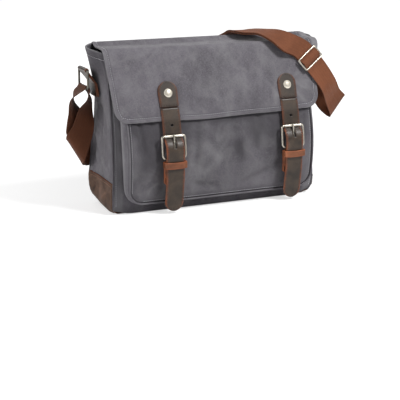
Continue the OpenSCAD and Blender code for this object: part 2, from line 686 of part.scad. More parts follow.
roller_bar_r = 1.5;
roller_len = 32;
module buckle_roller(x) {
    color(steel) buckle_place(x) translate([0, buckle_h, 0]) rotate([0, 90, 0]) difference() {
        cylinder(h = roller_len, r = roller_r, center = true, $fn = fn_wire);
        cylinder(h = roller_len + past, r = roller_bar_r + run_gap, center = true, $fn = fn_wire);
    }
}
prong_eye_w = 5;
module buckle_prong(x) {
    bore = buckle_wire + run_gap;
    stand = roller_r + hair + prong_r;      // the prong lies on the roller
    start = bore + 0.9;
    color(steel) buckle_place(x) difference() {
        union() {
            rotate([0, 90, 0]) cylinder(h = prong_eye_w, r = bore + 1.5, center = true, $fn = fn_wire);
            translate([0, 0, start]) rotate([-atan2(buckle_h, stand - start), 0, 0])
                cylinder(h = norm([buckle_h, stand - start]) + 3, r = prong_r, $fn = 24);
        }
        rotate([0, 90, 0]) cylinder(h = prong_eye_w + past, r = bore, center = true, $fn = fn_wire);
    }
}
module buckle_chape(x) {
    w = strap_w / 2 + 1.5;
    bore = buckle_wire + run_gap;
    slot = prong_eye_w / 2 + gap;
    color(leather) difference() {
        union() {
            translate([x, heel_y, heel_z]) rotate([0, 90, 0])
                cylinder(h = 2 * w - 6, r = wrap_r, center = true, $fn = fn_fine);
            along_y_leaf(x, w, chape_y - leather_t, chape_y, patch_z0, heel_z);
            along_y_leaf(x, w, chape_y - 2 * leather_t - 2 * hair, chape_y - leather_t - 2 * hair, chape_front_z, heel_z);
        }
        translate([x, heel_y, heel_z]) rotate([0, 90, 0])
            cylinder(h = 3 * w, r = bore, center = true, $fn = fn_wire);
        translate([x - slot, heel_y - 2 * wrap_r, heel_z - wrap_r - 2 * gap])
            cube([2 * slot, 4 * wrap_r, 3 * wrap_r]);
        // the buckle's rounded lower corners
        for (s = [-1, 1]) translate([x + s * (w + 7), heel_y, heel_z + 4]) rotate([90, 0, 0])
            cylinder(h = 4 * wrap_r, r = 13, center = true, $fn = fn_fine);
    }
}
// One leaf of leather, square at the top and round at the bottom
module along_y_leaf(x, w, y0, y1, z0, z1) {
    translate([0, (y0 + y1) / 2, 0]) along_y(y1 - y0) translate([x, 0]) hull() {
        for (s = [-1, 1]) translate([s * (w - 6), z0 + 6]) circle(6, $fn = fn_wire);
        translate([-w, z1 - 1]) square([2 * w, 1]);
    }
}
keeper_z = heel_z - 15;
keeper_h = 10.5;
module keeper(x) {
    w = strap_w / 2 + 1.5 + gap;
    front = heel_y - wrap_r - strap_t - 2 * gap;
    back = chape_y + gap;
    color(leather) translate([x, 0, keeper_z]) difference() {
        translate([-w - leather_t, front - leather_t, 0])
            cube([2 * (w + leather_t), back - front + 2 * leather_t - 0.6, keeper_h]);
        translate([-w, front, -past]) cube([2 * w, back - front, keeper_h + 2 * past]);
    }
}
module disc(x, y0, y1, r) {
    translate([x, (y0 + y1) / 2, snap_z]) rotate([90, 0, 0])
        cylinder(h = y1 - y0, r = r, center = true, $fn = fn_fine);
}
module snap_stud(x) { color(steel) disc(x, chape_y, chape_y + stud_t, snap_r); }
module snap_socket(x) {
    color(steel) difference() {
        disc(x, socket_y - socket_t, socket_y, snap_r);
        disc(x, socket_y - socket_t - past, socket_y - socket_t + 1, snap_r / 3);
    }
}
module snap_patch(x) {
    w = strap_w / 2;
    color(leather) intersection() {
        along_x(2 * body_w) polygon(concat([for (z = steps(patch_z0, patch_z1, 4)) [-pocket_y(z) - gap, z]],
            [[socket_y, patch_z1], [socket_y, patch_z0]]));
        along_y(3 * base_depth) translate([x, 0]) hull() {
            for (s = [-1, 1]) {
                translate([s * (w - 5), patch_z0 + 5]) circle(5, $fn = fn_wire);
                translate([s * (w - 5), patch_z1 - 5]) circle(5, $fn = fn_wire);
            }
        }
    }
}

back_panel();
front_panel();
base_panel();
side_gusset(-1);  // side_gusset_left
side_gusset(1);  // side_gusset_right
corner_patch(-1);  // corner_patch_left
corner_patch(1);  // corner_patch_right
lining();
laptop_divider();
inner_zip();
zip_slider();
front_pocket_panel();
front_pocket_gusset();
pocket_piping();
flap_back();
flap_top();
flap_front();
back_band();
band_patch(-1);  // band_patch_left
band_patch(1);  // band_patch_right
ring_tab(-1);  // ring_tab_left
ring_tab(1);  // ring_tab_right
side_ring(-1);  // side_ring_left
side_ring(1);  // side_ring_right
shoulder_webbing();
strap_slider();
strap_tab(strap_x_left);  // strap_tab_left
strap_tab(strap_x_right);  // strap_tab_right
rivet(strap_x_left);  // rivet_left
rivet(strap_x_right);  // rivet_right
closing_strap(strap_x_left);  // closing_strap_left
closing_strap(strap_x_right);  // closing_strap_right
buckle_frame(strap_x_left);  // buckle_frame_left
buckle_frame(strap_x_right);  // buckle_frame_right
buckle_roller(strap_x_left);  // buckle_roller_left
buckle_roller(strap_x_right);  // buckle_roller_right
buckle_prong(strap_x_left);  // buckle_prong_left
buckle_prong(strap_x_right);  // buckle_prong_right
buckle_chape(strap_x_left);  // buckle_chape_left
buckle_chape(strap_x_right);  // buckle_chape_right
keeper(strap_x_left);  // keeper_left
keeper(strap_x_right);  // keeper_right
snap_stud(strap_x_left);  // snap_stud_left
snap_stud(strap_x_right);  // snap_stud_right
snap_socket(strap_x_left);  // snap_socket_left
snap_socket(strap_x_right);  // snap_socket_right
snap_patch(strap_x_left);  // snap_patch_left
snap_patch(strap_x_right);  // snap_patch_right
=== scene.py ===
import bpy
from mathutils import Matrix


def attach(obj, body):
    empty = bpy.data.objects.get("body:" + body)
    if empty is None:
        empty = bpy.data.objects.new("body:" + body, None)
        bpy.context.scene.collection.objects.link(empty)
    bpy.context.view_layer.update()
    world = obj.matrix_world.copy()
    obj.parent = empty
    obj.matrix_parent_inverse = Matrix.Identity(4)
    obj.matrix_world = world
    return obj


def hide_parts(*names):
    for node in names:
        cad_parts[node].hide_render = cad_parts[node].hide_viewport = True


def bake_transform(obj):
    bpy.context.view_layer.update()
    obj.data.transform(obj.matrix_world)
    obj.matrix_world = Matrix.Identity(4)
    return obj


bl_info = {
    "name": "Canvas messenger bag",
    "version": (1, 0, 0),
    "blender": (4, 5, 0),
    "location": "3D View > Sidebar > Messenger bag",
    "description": "Dresses the packed messenger bag in canvas, leather, webbing and antique metal",
    "category": "Add Mesh",
}

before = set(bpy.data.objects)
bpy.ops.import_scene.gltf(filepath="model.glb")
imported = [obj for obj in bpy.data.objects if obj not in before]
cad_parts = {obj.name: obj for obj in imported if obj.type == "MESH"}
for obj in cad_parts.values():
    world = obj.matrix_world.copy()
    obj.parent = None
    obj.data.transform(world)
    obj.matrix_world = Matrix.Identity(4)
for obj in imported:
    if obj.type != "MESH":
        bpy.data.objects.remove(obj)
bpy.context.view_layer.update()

import math

import bmesh
import bpy
import numpy as np
from mathutils import Vector

MM = 0.001

# ---- the bag's sizes in millimetres, as its source gives them: x to the right, y to the back, z up ----
BODY_W, BACK_H, FRONT_H = 380.0, 284.0, 268.5
BASE_D, MOUTH_D = 108.0, 50.0
POCKET_X, POCKET_W, POCKET_Z0, POCKET_Z1, POCKET_R = 3.0, 344.0, 16.0, 205.0, 28.0
FLAP_W, FLAP_END_W, FLAP_R = 386.0, 374.0, 24.0
BACK_FOLD = (26.5, 286.9)
FRONT_FOLD = (-30.18, 270.1)
FLAP_END = (-68.92, 156.0)
STRAP_X = {"left": -92.0, "right": 129.0}
TAB_TOP_Z, RIVET_Z = 217.0, 198.0
HEEL_Y, HEEL_Z = -84.82, 95.0
RING_X, RING_Y, RING_Z, RING_H = 215.0, 6.85, 237.0, 29.0
WEB_W, WEB_T = 38.0, 1.5
SETTLE = 8.0    # how far the flap's soft top sinks at the back


def face_y(z):
    """Half the body's depth at a height."""
    return BASE_D / 2 - (BASE_D - MOUTH_D) / 2 * z / BACK_H


def half_w(z):
    """Half the body's width at a height, between the gussets' edges."""
    return BODY_W / 2 - 6.0 * np.sin(np.pi * z / BACK_H)


def bow(z, u):
    """How far a gusset bows out, with u from -1 at the front to 1 at the back."""
    w = np.where(u < 0.25, (0.25 - u) / 1.25, (u - 0.25) / 0.75)
    return 23.0 * np.power(np.clip(z, 0, None) / BACK_H, 2.5) * (1 - np.power(np.clip(w, 0, 1), 1.8))


def pocket_y(z):
    """How far the pocket's bellied front stands out from the middle of the bag at a height."""
    return face_y(z) + 15 + 18 * np.sin(np.pi * (z - POCKET_Z0) / (POCKET_Z1 - POCKET_Z0))


# ---- noise, smooth steps and folds ----
_rng = np.random.default_rng(7)
_PERM = np.concatenate([_rng.permutation(256)] * 3)
_GRAD = _rng.normal(size=(256, 3))
_GRAD /= np.linalg.norm(_GRAD, axis=1)[:, None]


def wobble(x, y, z=0.0, seed=0.0):
    """Smooth gradient noise, about -1 to 1, one unit to a bump."""
    p = grid(np.asarray(x, float) + 17.3 * seed, np.asarray(y, float) - 5.1 * seed,
             np.asarray(z, float) + 3.7 * seed)
    i = np.floor(p).astype(int)
    f = p - i
    u = f * f * f * (f * (f * 6 - 15) + 10)
    total = 0
    for dx in (0, 1):
        for dy in (0, 1):
            for dz in (0, 1):
                h = _PERM[_PERM[(i[..., 0] + dx) & 255] + ((i[..., 1] + dy) & 255)]
                g = _GRAD[_PERM[h + ((i[..., 2] + dz) & 255)] & 255]
                share = 1
                for axis, d in enumerate((dx, dy, dz)):
                    share = share * (u[..., axis] if d else 1 - u[..., axis])
                total = total + (g * (f - (dx, dy, dz))).sum(-1) * share
    return total * 1.5


def bumps(x, y, z=0.0, seed=0.0):
    """The upper half of the noise: 0 to 1, with flat places between."""
    return np.clip(wobble(x, y, z, seed), 0, 1)


def step(a, b, x):
    """0 before a, 1 after b and smooth between; b may be the smaller one."""
    t = np.clip((np.asarray(x, float) - a) / (b - a), 0, 1)
    return t * t * (3 - 2 * t)


def bell(distance, width):
    """1 at no distance, falling off over width."""
    return np.exp(-(distance / width) ** 2)


def creases(x, y, size, stretch, turn, seed):
    """Soft ridges 0 to 1 that run along one direction and fade in and out, as in waxed canvas."""
    c, s = math.cos(math.radians(turn)), math.sin(math.radians(turn))
    a, b = (x * c + y * s) / (size * stretch), (-x * s + y * c) / size
    w = wobble(a * 1.3, b * 1.3, 0.5, seed + 9) * 0.55
    ridge = np.clip(1 - np.abs(wobble(a + w, b + w, 0.0, seed)) * 3.2, 0, 1) ** 2
    return ridge * step(-0.15, 0.55, wobble(a * 0.9, b * 0.45, 2.0, seed + 4))


def dent(x, y, x0, y0, x1, y1, width):
    """1 along the line from (x0, y0) to (x1, y1), falling off over width and at its ends."""
    dx, dy = x1 - x0, y1 - y0
    length = math.hypot(dx, dy)
    t = ((x - x0) * dx + (y - y0) * dy) / length ** 2
    d = np.abs((x - x0) * dy - (y - y0) * dx) / length
    return bell(d, width) * step(0, 0.25, t) * step(1, 0.75, t)


# ---- points and lines ----
def grid(x, y, z):
    """Points from coordinates that broadcast against one another."""
    return np.stack(np.broadcast_arrays(x, y, z), -1)


def unit(v):
    v = np.asarray(v, float)
    return v / np.maximum(np.linalg.norm(v, axis=-1), 1e-9)[..., None]


def along(line):
    """The distance from a line's first point to each of its points."""
    return np.concatenate([[0], np.cumsum(np.linalg.norm(np.diff(line, axis=0), axis=1))])


def even(points, pitch):
    """The same open line with points a set pitch apart."""
    p = np.asarray(points, float)
    s = along(p)
    at = np.linspace(0, s[-1], max(2, int(round(s[-1] / pitch)) + 1))
    return np.stack([np.interp(at, s, p[:, k]) for k in range(p.shape[1])], 1)


def nearest(values, wanted):
    """Index of the value nearest to the wanted one."""
    return int(np.argmin(np.abs(values - wanted)))


def soften(line, sigma, reach, apart=1.0):
    """A flat line blurred along itself over sigma, with its points a set step apart; its ends stay."""
    n = int(reach * sigma)
    k = np.exp(-0.5 * (np.arange(-n, n + 1) * apart / sigma) ** 2)
    pad = np.concatenate([2 * line[:1] - line[n:0:-1], line, 2 * line[-1:] - line[-2:-n - 2:-1]])
    return np.stack([np.convolve(pad[:, c], k / k.sum(), "valid") for c in range(2)], 1)


def smooth_line(points, n, closed=False):
    """A Catmull-Rom curve through points, n steps to a span. Works on rows of any width."""
    p = np.asarray(points, float)
    before, after = (p[-1:], p[:2]) if closed else (2 * p[:1] - p[1:2], 2 * p[-1:] - p[-2:-1])
    q = np.concatenate([before, p, after])
    out = []
    for i in range(len(p) if closed else len(p) - 1):
        a, b, c, d = q[i:i + 4]
        for u in np.arange(n) / n:
            out.append(0.5 * (2 * b + (c - a) * u + (2 * a - 5 * b + 4 * c - d) * u * u
                              + (3 * b - a - 3 * c + d) * u ** 3))
    return np.array(out if closed else [*out, p[-1]])


# ---- cloth and leather as grids ----
def normals(p, wrap=False):
    """Unit normals of a grid of points, rows by columns: the rows' step crossed with the columns'."""
    if wrap:
        ring = np.concatenate([p[:, -1:], p, p[:, :1]], 1)
        across = ring[:, 2:] - ring[:, :-2]
    else:
        across = np.gradient(p, axis=1)
    return unit(np.cross(np.gradient(p, axis=0), across))


class Cloth:
    """A sheet laid out on rows s and columns t, with its outer face in p and its normals in n."""

    def __init__(self, s, t, p, out=1, wrap=False):
        self.s, self.t, self.p, self.wrap = s, t, p, wrap
        self.n = normals(self.p, wrap) * out
        self.out = out
        self.marks = {}

    def facing(self, way):
        """Turns the outer face towards a direction, or towards one for each point."""
        if (self.n * way).sum() < 0:
            self.out, self.n = -self.out, -self.n
        return self

    def push(self, amount):
        """Moves the face out along its normals."""
        self.p = self.p + self.n * np.asarray(amount)[..., None]
        self.n = normals(self.p, self.wrap) * self.out
        return self

    def mark(self, name, value):
        """Keeps a value of 0 to 1 for each point, which the materials read by its name."""
        self.marks[name] = np.clip(np.broadcast_to(value, self.p.shape[:2]), 0, 1)
        return self

    def path(self, st, lift=0.0):
        """Points of the face at pairs of s and t, lifted off it."""
        q = self.p + self.n * lift
        st = np.asarray(st, float)
        i = np.clip(np.interp(st[:, 0], self.s, np.arange(len(self.s))), 0, len(self.s) - 1.001)
        j = np.clip(np.interp(st[:, 1], self.t, np.arange(len(self.t))), 0, len(self.t) - 1.001)
        a, b = i.astype(int), j.astype(int)
        u, v = (i - a)[:, None], (j - b)[:, None]
        return (q[a, b] * (1 - u) * (1 - v) + q[a + 1, b] * u * (1 - v)
                + q[a, b + 1] * (1 - u) * v + q[a + 1, b + 1] * u * v)


def link(name, mesh, *materials):
    ob = bpy.data.objects.new(name, mesh)
    bpy.context.scene.collection.objects.link(ob)
    for m in materials:
        mesh.materials.append(m)
    return ob


def mesh_of(name, verts, faces, uv=None, marks=None, slots=None):
    """A smooth mesh from points in millimetres; uv and marks have one entry for each point."""
    me = bpy.data.meshes.new(name)
    me.from_pydata((np.asarray(verts, float) * MM).tolist(), [], faces)
    if uv is not None:
        layer = me.uv_layers.new(name="UVMap")
        idx = np.zeros(len(me.loops), np.int32)
        me.loops.foreach_get("vertex_index", idx)
        layer.data.foreach_set("uv", np.asarray(uv, np.float32)[idx].ravel())
    for key, val in (marks or {}).items():
        at = me.attributes.new(key, "FLOAT", "POINT")
        at.data.foreach_set("value", np.asarray(val, np.float32))
    if slots is not None:
        me.polygons.foreach_set("material_index", np.asarray(slots, np.int32))
    me.polygons.foreach_set("use_smooth", [True] * len(me.polygons))
    me.validate()
    me.update()
    return me


def sharpen(me, points):
    """Keeps the edges between these points sharp, so that a flush end is shaded like what it meets."""
    pairs = np.empty(2 * len(me.edges), int)
    me.edges.foreach_get("vertices", pairs)
    sharp = np.isin(pairs.reshape(-1, 2), points).all(1)
    me.attributes.new("sharp_edge", "BOOLEAN", "EDGE").data.foreach_set("value", sharp)


def edge_loop(r0, r1, c0, c1, at):
    """The points round a block of cells, from its first row and column on."""
    return ([at(r0, j) for j in range(c0, c1)] + [at(i, c1) for i in range(r0, r1)]
            + [at(r1, j) for j in range(c1, c0, -1)] + [at(i, c0) for i in range(r1, r0, -1)])


def sew(name, cloth, thick, *materials, bulge=0.35, flush=(False, False), holes=(), start=0.0):
    """A closed solid: the cloth's face, its back a thickness below, and a rounded rim round the edges.

    The first material is on the face and the rim, the last one on the back. flush leaves the first or
    last row flat, where another piece carries on. holes are cut through cells (first row, last row,
    first column, last column). start is how far along its pattern the piece begins."""
    p, back_slot = cloth.p, len(materials) - 1
    rows, cols = p.shape[:2]
    count = rows * cols
    back = p - cloth.n * np.broadcast_to(thick, (rows, cols))[..., None]
    face, back = p.reshape(-1, 3), back.reshape(-1, 3)
    uv = np.broadcast_arrays(along(p[rows // 2])[None, :], along(p[:, cols // 2])[:, None] + start)
    uv = np.stack(uv, -1).reshape(-1, 2) * 0.01
    verts, uvs, faces, slots = [face, back], [uv, uv], [], []
    flip = cloth.out < 0

    def at(i, j):
        return i * cols + j

    def quad(a, b, c, d, slot=0):
        faces.append((a, b, c, d) if not flip else (d, c, b, a))
        slots.append(slot)

    gone = {(i, j) for r0, r1, c0, c1 in holes for i in range(r0, r1) for j in range(c0, c1)}
    for i in range(rows - 1):
        for j in range(cols if cloth.wrap else cols - 1):
            if (i, j) not in gone:
                a, b, c, d = at(i, j), at(i + 1, j), at(i + 1, (j + 1) % cols), at(i, (j + 1) % cols)
                quad(a, b, c, d)
                quad(count + d, count + c, count + b, count + a, back_slot)
    if cloth.wrap:
        loops = [[at(0, j) for j in range(cols)], [at(rows - 1, cols - 1 - j) for j in range(cols)]]
    else:
        loops = [edge_loop(0, rows - 1, 0, cols - 1, at)]
    for hole in holes:
        ring = edge_loop(*hole, at)
        for a, b in zip(ring, ring[1:] + ring[:1]):
            quad(b, a, count + a, count + b)
    marks = {key: [v.reshape(-1)] * 2 for key, v in cloth.marks.items()}
    marks.setdefault("rim", [np.zeros(count)] * 2)
    base = 2 * count
    for loop in loops:
        a, b = face[loop], back[loop]
        mid = (a + b) / 2
        side = unit(np.cross(np.roll(mid, -1, 0) - np.roll(mid, 1, 0), a - b))
        row = np.array(loop) // cols
        flat = (row == 0) & flush[0] | (row == rows - 1) & flush[1]
        size = np.where(flat[:, None], 0.0, np.linalg.norm(a - b, axis=1)[:, None])
        verts.append(mid + side * size * (bulge if flip else -bulge))
        uvs.append(uv[loop])
        for key in marks:
            marks[key].append(np.ones(len(loop)) if key == "rim" else marks[key][0][loop])
        for q, here in enumerate(loop):
            r = (q + 1) % len(loop)
            quad(here, loop[r], base + r, base + q)
            quad(base + q, base + r, count + loop[r], count + here)
        base += len(loop)
    marks = {key: np.concatenate(v) for key, v in marks.items()}
    me = mesh_of(name, np.concatenate(verts), faces, np.concatenate(uvs), marks, slots)
    ends = [np.arange(cols) + i * cols for i, flat in ((0, flush[0]), (rows - 1, flush[1])) if flat]
    if ends:
        sharpen(me, np.concatenate([row + k for row in ends for k in (0, count)]))
    return link(name, me, *materials)


def ribbon(name, centre, side, half, up, thick, *materials, cols=9, crown=0.0, bevel=0.5, bulge=0.3,
           marks=None, holes=(), columns=None, rub=1.0):
    """A strap: its centre line, half widths, and side and outward directions, for each row or for all.

    rub says how far the raw colour shows along both edges."""
    c = np.asarray(centre, float)
    side, up = (np.broadcast_to(np.asarray(v, float), c.shape) for v in (side, up))
    half = np.broadcast_to(half, (len(c),))
    t = np.sin(np.linspace(-np.pi / 2, np.pi / 2, cols)) if columns is None else np.asarray(columns, float)
    edge = np.abs(t)
    lift = crown * (1 - t ** 2) - bevel * np.clip((edge - 0.86) / 0.14, 0, 1) ** 2
    p = c[:, None] + side[:, None] * (half[:, None] * t)[..., None] + up[:, None] * lift[:, None]
    cl = Cloth(along(c), t, p).facing(up[:, None])
    rubbed = 0.7 * step(0.72, 0.86, edge) + 0.3 * step(0.9, 1.0, edge)
    cl.mark("edge", rubbed[None, :] * np.reshape(rub, (-1, 1)))
    for key, val in (marks or {}).items():
        cl.mark(key, val)
    return cl, sew(name, cl, thick, *materials, bulge=bulge, holes=holes)


def tube(name, points, radius, *materials, sides=8, closed=False, marks=None):
    """A round cord along points, closed at its ends."""
    p = np.asarray(points, float)
    n = len(p)
    t = unit(np.roll(p, -1, 0) - np.roll(p, 1, 0) if closed else np.gradient(p, axis=0))
    a = np.cross(t[0], (0, 0, 1.0))
    if np.linalg.norm(a) < 0.2:
        a = np.cross(t[0], (0, 1.0, 0))
    radius = np.broadcast_to(radius, (n,))
    arc = along(p)
    verts, uv, faces = [], [], []
    for k in range(n):
        a = a - t[k] * (a @ t[k])
        a /= np.linalg.norm(a)
        b = np.cross(t[k], a)
        for q in range(sides):
            w = 2 * np.pi * q / sides
            verts.append(p[k] + radius[k] * (np.cos(w) * a + np.sin(w) * b))
            uv.append((q / sides * 0.1, arc[k] * 0.01))
    for k in range(n if closed else n - 1):
        for q in range(sides):
            q1, k1 = (q + 1) % sides, (k + 1) % n
            faces.append((k * sides + q, k * sides + q1, k1 * sides + q1, k1 * sides + q))
    if not closed:
        faces += [tuple(range(sides))[::-1], tuple((n - 1) * sides + q for q in range(sides))]
    marks = {key: np.full(len(verts), value) for key, value in (marks or {}).items()}
    return link(name, mesh_of(name, verts, faces, uv, marks), *materials)


def lathe(name, profile, place, *materials, sides=40):
    """A turned piece: profile as (radius, height) pairs, place maps a point (x, y, height) to the frame."""
    verts, faces, rows = [], [], []
    for r, h in profile:
        turns = [2 * math.pi * q / sides for q in range(sides if r > 1e-6 else 1)]
        rows.append(range(len(verts), len(verts) + len(turns)))
        verts += [place(r * math.cos(w), r * math.sin(w), h) for w in turns]
    for a, b in zip(rows, rows[1:]):
        for q in range(sides):
            r = (q + 1) % sides
            around = (a[q % len(a)], a[r % len(a)], b[r % len(b)], b[q % len(b)])
            corners = tuple(dict.fromkeys(around))
            if len(corners) > 2:
                faces.append(corners)
    ob = link(name, mesh_of(name, verts, faces), *materials)
    face_outwards(ob.data)
    return ob


def face_outwards(me):
    """Merges a closed mesh's doubles and turns its faces outwards."""
    bm = bmesh.new()
    bm.from_mesh(me)
    bmesh.ops.remove_doubles(bm, verts=bm.verts, dist=1e-6)
    bmesh.ops.recalc_face_normals(bm, faces=bm.faces)
    bm.to_mesh(me)
    bm.free()


def join(obs):
    """Several pieces as one object, with their materials kept."""
    with bpy.context.temp_override(active_object=obs[0], selected_editable_objects=obs, selected_objects=obs):
        bpy.ops.object.join()
    return obs[0]


# ---- node trees ----
def node(tree, kind, inputs, **settings):
    """Adds a node, makes its settings, then links or sets its inputs by name or number."""
    made = tree.nodes.new(kind)
    for key, value in settings.items():
        setattr(made, key, value)
    for key, value in inputs.items():
        if isinstance(value, bpy.types.NodeSocket):
            tree.links.new(value, made.inputs[key])
        else:
            made.inputs[key].default_value = value
    return made.outputs


def node_tree(name, kind, inputs, build):
    """A node tree, made the first time it's asked for.

    inputs has a number or vector for each socket's default, or the word for its kind. build adds the
    nodes and gives what the tree puts out, with the word for its kind after each output's name."""
    tree = bpy.data.node_groups.get(name)
    if tree is None:
        tree = bpy.data.node_groups.new(name, kind)
        for label, value in inputs.items():
            word = value if isinstance(value, str) else "Vector" if isinstance(value, tuple) else "Float"
            socket = tree.interface.new_socket(name=label, in_out="INPUT", socket_type="NodeSocket" + word)
            if word != value:
                socket.default_value = value
        made = build(tree, node(tree, "NodeGroupInput", {}))
        word = "Geometry" if kind == "GeometryNodeTree" else "Float"
        for label in made:
            tree.interface.new_socket(name=label, in_out="OUTPUT", socket_type="NodeSocket" + word)
        node(tree, "NodeGroupOutput", made)
    return tree


# ---- Geometry Nodes: stitches and zip teeth ----
def row_tree(name, inputs, shape):
    """A tree that sets one small shape after another along every line of a mesh."""
    def build(tree, given):
        curve = node(tree, "GeometryNodeMeshToCurve", {"Mesh": given["Geometry"]})
        even_curve = node(tree, "GeometryNodeResampleCurve",
                          {"Curve": curve["Curve"], "Length": given["Pitch"]}, mode="LENGTH")
        placed = node(tree, "GeometryNodeInstanceOnPoints",
                      {"Points": even_curve["Curve"], **shape(tree, given)})
        real = node(tree, "GeometryNodeRealizeInstances", {"Geometry": placed["Instances"]})
        return {"Geometry": node(tree, "GeometryNodeSetMaterial", {
            "Geometry": real["Geometry"], "Material": given["Material"]})["Geometry"]}
    inputs = {"Geometry": "Geometry", **inputs, "Material": "Material"}
    return node_tree(name, "GeometryNodeTree", inputs, build)


def stitch_shape(tree, given):
    """A slim ball as long as one stitch, turned along the row."""
    ball = node(tree, "GeometryNodeMeshUVSphere", {"Segments": 6, "Rings": 4, "Radius": 1.0})
    tangent = node(tree, "GeometryNodeInputTangent", {})["Tangent"]
    turn = node(tree, "FunctionNodeAlignRotationToVector", {"Vector": tangent}, axis="X")
    half = node(tree, "ShaderNodeMath", {0: given["Length"], 1: 0.5}, operation="MULTIPLY")
    size = node(tree, "ShaderNodeCombineXYZ", {"X": half[0], "Y": given["Thread"], "Z": given["Thread"]})
    return {"Instance": ball["Mesh"], "Rotation": turn["Rotation"], "Scale": size["Vector"]}


def stitch_tree():
    """Thread stitches along every row."""
    return row_tree("Stitch row", {"Pitch": 0.0036, "Length": 0.0027, "Thread": 0.00045}, stitch_shape)


def teeth_tree():
    """Zip teeth along every row."""
    return row_tree("Zip teeth", {"Pitch": 0.0016, "Tooth": (0.0009, 0.0012, 0.0024)}, lambda tree, given: {
        "Instance": node(tree, "GeometryNodeMeshCube", {"Size": given["Tooth"]})["Mesh"]})


def grow(name, tree, rows, material, **values):
    """Runs a Geometry Nodes tree over open lines of points, and keeps the result as a plain mesh."""
    verts, edges = [], []
    for row in rows:
        first = len(verts)
        verts += [tuple(np.asarray(q, float) * MM) for q in row]
        edges += [(first + i, first + i + 1) for i in range(len(row) - 1)]
    lines = bpy.data.meshes.new(name + "_rows")
    lines.from_pydata(verts, edges, [])
    source = link(name + "_rows", lines)
    modifier = source.modifiers.new("Rows", "NODES")
    modifier.node_group = tree
    for socket in tree.interface.items_tree:
        if socket.in_out == "INPUT" and socket.name in {"Material", *values}:
            modifier[socket.identifier] = {"Material": material, **values}[socket.name]
    deps = bpy.context.evaluated_depsgraph_get()
    made = bpy.data.meshes.new_from_object(source.evaluated_get(deps), preserve_all_data_layers=True,
                                           depsgraph=deps)
    bpy.data.objects.remove(source)
    made.polygons.foreach_set("use_smooth", [True] * len(made.polygons))
    return link(name, made, *([] if made.materials else [material]))


# ---- colours and materials ----
def props(name):
    """One group of the sidebar's settings."""
    return getattr(bpy.context.scene, name)


def srgb(r, g, b):
    """A linear colour from the usual numbers of 0 to 255."""
    shares = (r / 255, g / 255, b / 255)
    return tuple(v / 12.92 if v <= 0.04045 else ((v + 0.055) / 1.055) ** 2.4 for v in shares)


def scaled(colour, by):
    """A colour times one number, or times one for each channel."""
    return tuple(np.clip(np.asarray(colour[:3]) * by, 0, 1))


def towards(colour, other, share):
    """A colour moved part of the way to another one."""
    base = np.asarray(colour[:3])
    return tuple(np.clip(base + (np.asarray(other) - base) * share, 0, 1))


class Wires:
    """Short ways to add shader nodes to one tree. Values are numbers, colours or other nodes' sockets."""

    def __init__(self, tree):
        self.tree = tree

    def node(self, kind, inputs, **settings):
        return node(self.tree, kind, inputs, **settings)

    def math(self, operation, *terms):
        return self.node("ShaderNodeMath", dict(enumerate(terms)), operation=operation)[0]

    def noise(self, vector, scale, detail=4.0, rough=0.55, distort=0.0):
        return self.node("ShaderNodeTexNoise", {"Vector": vector, "Scale": scale, "Detail": detail,
                                                "Roughness": rough, "Distortion": distort})["Fac"]

    def span(self, value, a, b, c=0.0, d=1.0):
        """The value mapped from a and b to c and d, and kept between them."""
        return self.node("ShaderNodeMapRange", dict(enumerate((value, a, b, c, d))))[0]

    def mix(self, factor, a, b):
        a, b = (v if isinstance(v, bpy.types.NodeSocket) else (*v, 1.0)[:4] for v in (a, b))
        return self.node("ShaderNodeMix", {0: factor, 6: a, 7: b}, data_type="RGBA", clamp_factor=True)[2]

    def tint(self, colour, mask, amount, other):
        """A colour moved towards another one where a mask says, by up to an amount."""
        return self.mix(self.math("MULTIPLY", mask, amount), colour, other)

    def attribute(self, name):
        return self.node("ShaderNodeAttribute", {}, attribute_name=name)["Fac"]

    def place(self, vector, scale, turn=(0, 0, 0)):
        return self.node("ShaderNodeMapping", {"Vector": vector, "Scale": scale, "Rotation": turn})[0]

    def split(self, vector):
        return self.node("ShaderNodeSeparateXYZ", {0: vector})

    def group(self, tree, **values):
        inputs = {key.replace("_", " "): value for key, value in values.items()}
        return self.node("ShaderNodeGroup", inputs, node_tree=tree)

    def bump(self, height, strength, distance):
        return self.node("ShaderNodeBump", {"Height": height, "Strength": strength, "Distance": distance})[0]


def mottle_tree():
    """Soft blotches, fine fibres and paler rubbed lines over the whole surface."""
    def build(tree, given):
        w, v, size = Wires(tree), given["Vector"], given["Blotch size"]
        ridge = w.noise(v, w.math("MULTIPLY", size, 2.6), 3.0, 0.5, 1.2)
        ridge = w.math("ABSOLUTE", w.math("SUBTRACT", ridge, 0.5))
        ridge = w.math("POWER", w.span(ridge, 0.0, 0.05, 1.0, 0.0), 2.0)
        turned = w.place(v, (1.0, 1.0, 1.0), (0.4, 0.2, 0.9))
        keep = w.span(w.noise(turned, w.math("MULTIPLY", size, 0.9), 2.0), 0.5, 0.66)
        return {"Blotches": w.noise(v, size, 5.0, 0.6),
                "Fibres": w.noise(v, given["Fibre size"], 3.0, 0.7),
                "Rubbed lines": w.math("MULTIPLY", ridge, keep)}
    inputs = {"Vector": "Vector", "Blotch size": 12.0, "Fibre size": 160.0}
    return node_tree("Mottle and rub", "ShaderNodeTree", inputs, build)


def weave_tree():
    """A plain weave on the piece's own UV map: one thread over, one under."""
    def build(tree, given):
        w = Wires(tree)
        at = w.split(given["Vector"])
        a, b = (w.math("SINE", w.math("MULTIPLY", v, given["Threads"])) for v in (at[0], at[1]))
        gap = w.math("MULTIPLY", w.math("ABSOLUTE", a), w.math("ABSOLUTE", b))
        return {"Height": w.math("MULTIPLY_ADD", w.math("MULTIPLY", a, b), 0.5, 0.5),
                "Gaps": w.span(gap, 0.0, 0.25, 1.0, 0.0)}
    return node_tree("Plain weave", "ShaderNodeTree", {"Vector": "Vector", "Threads": 390.0}, build)


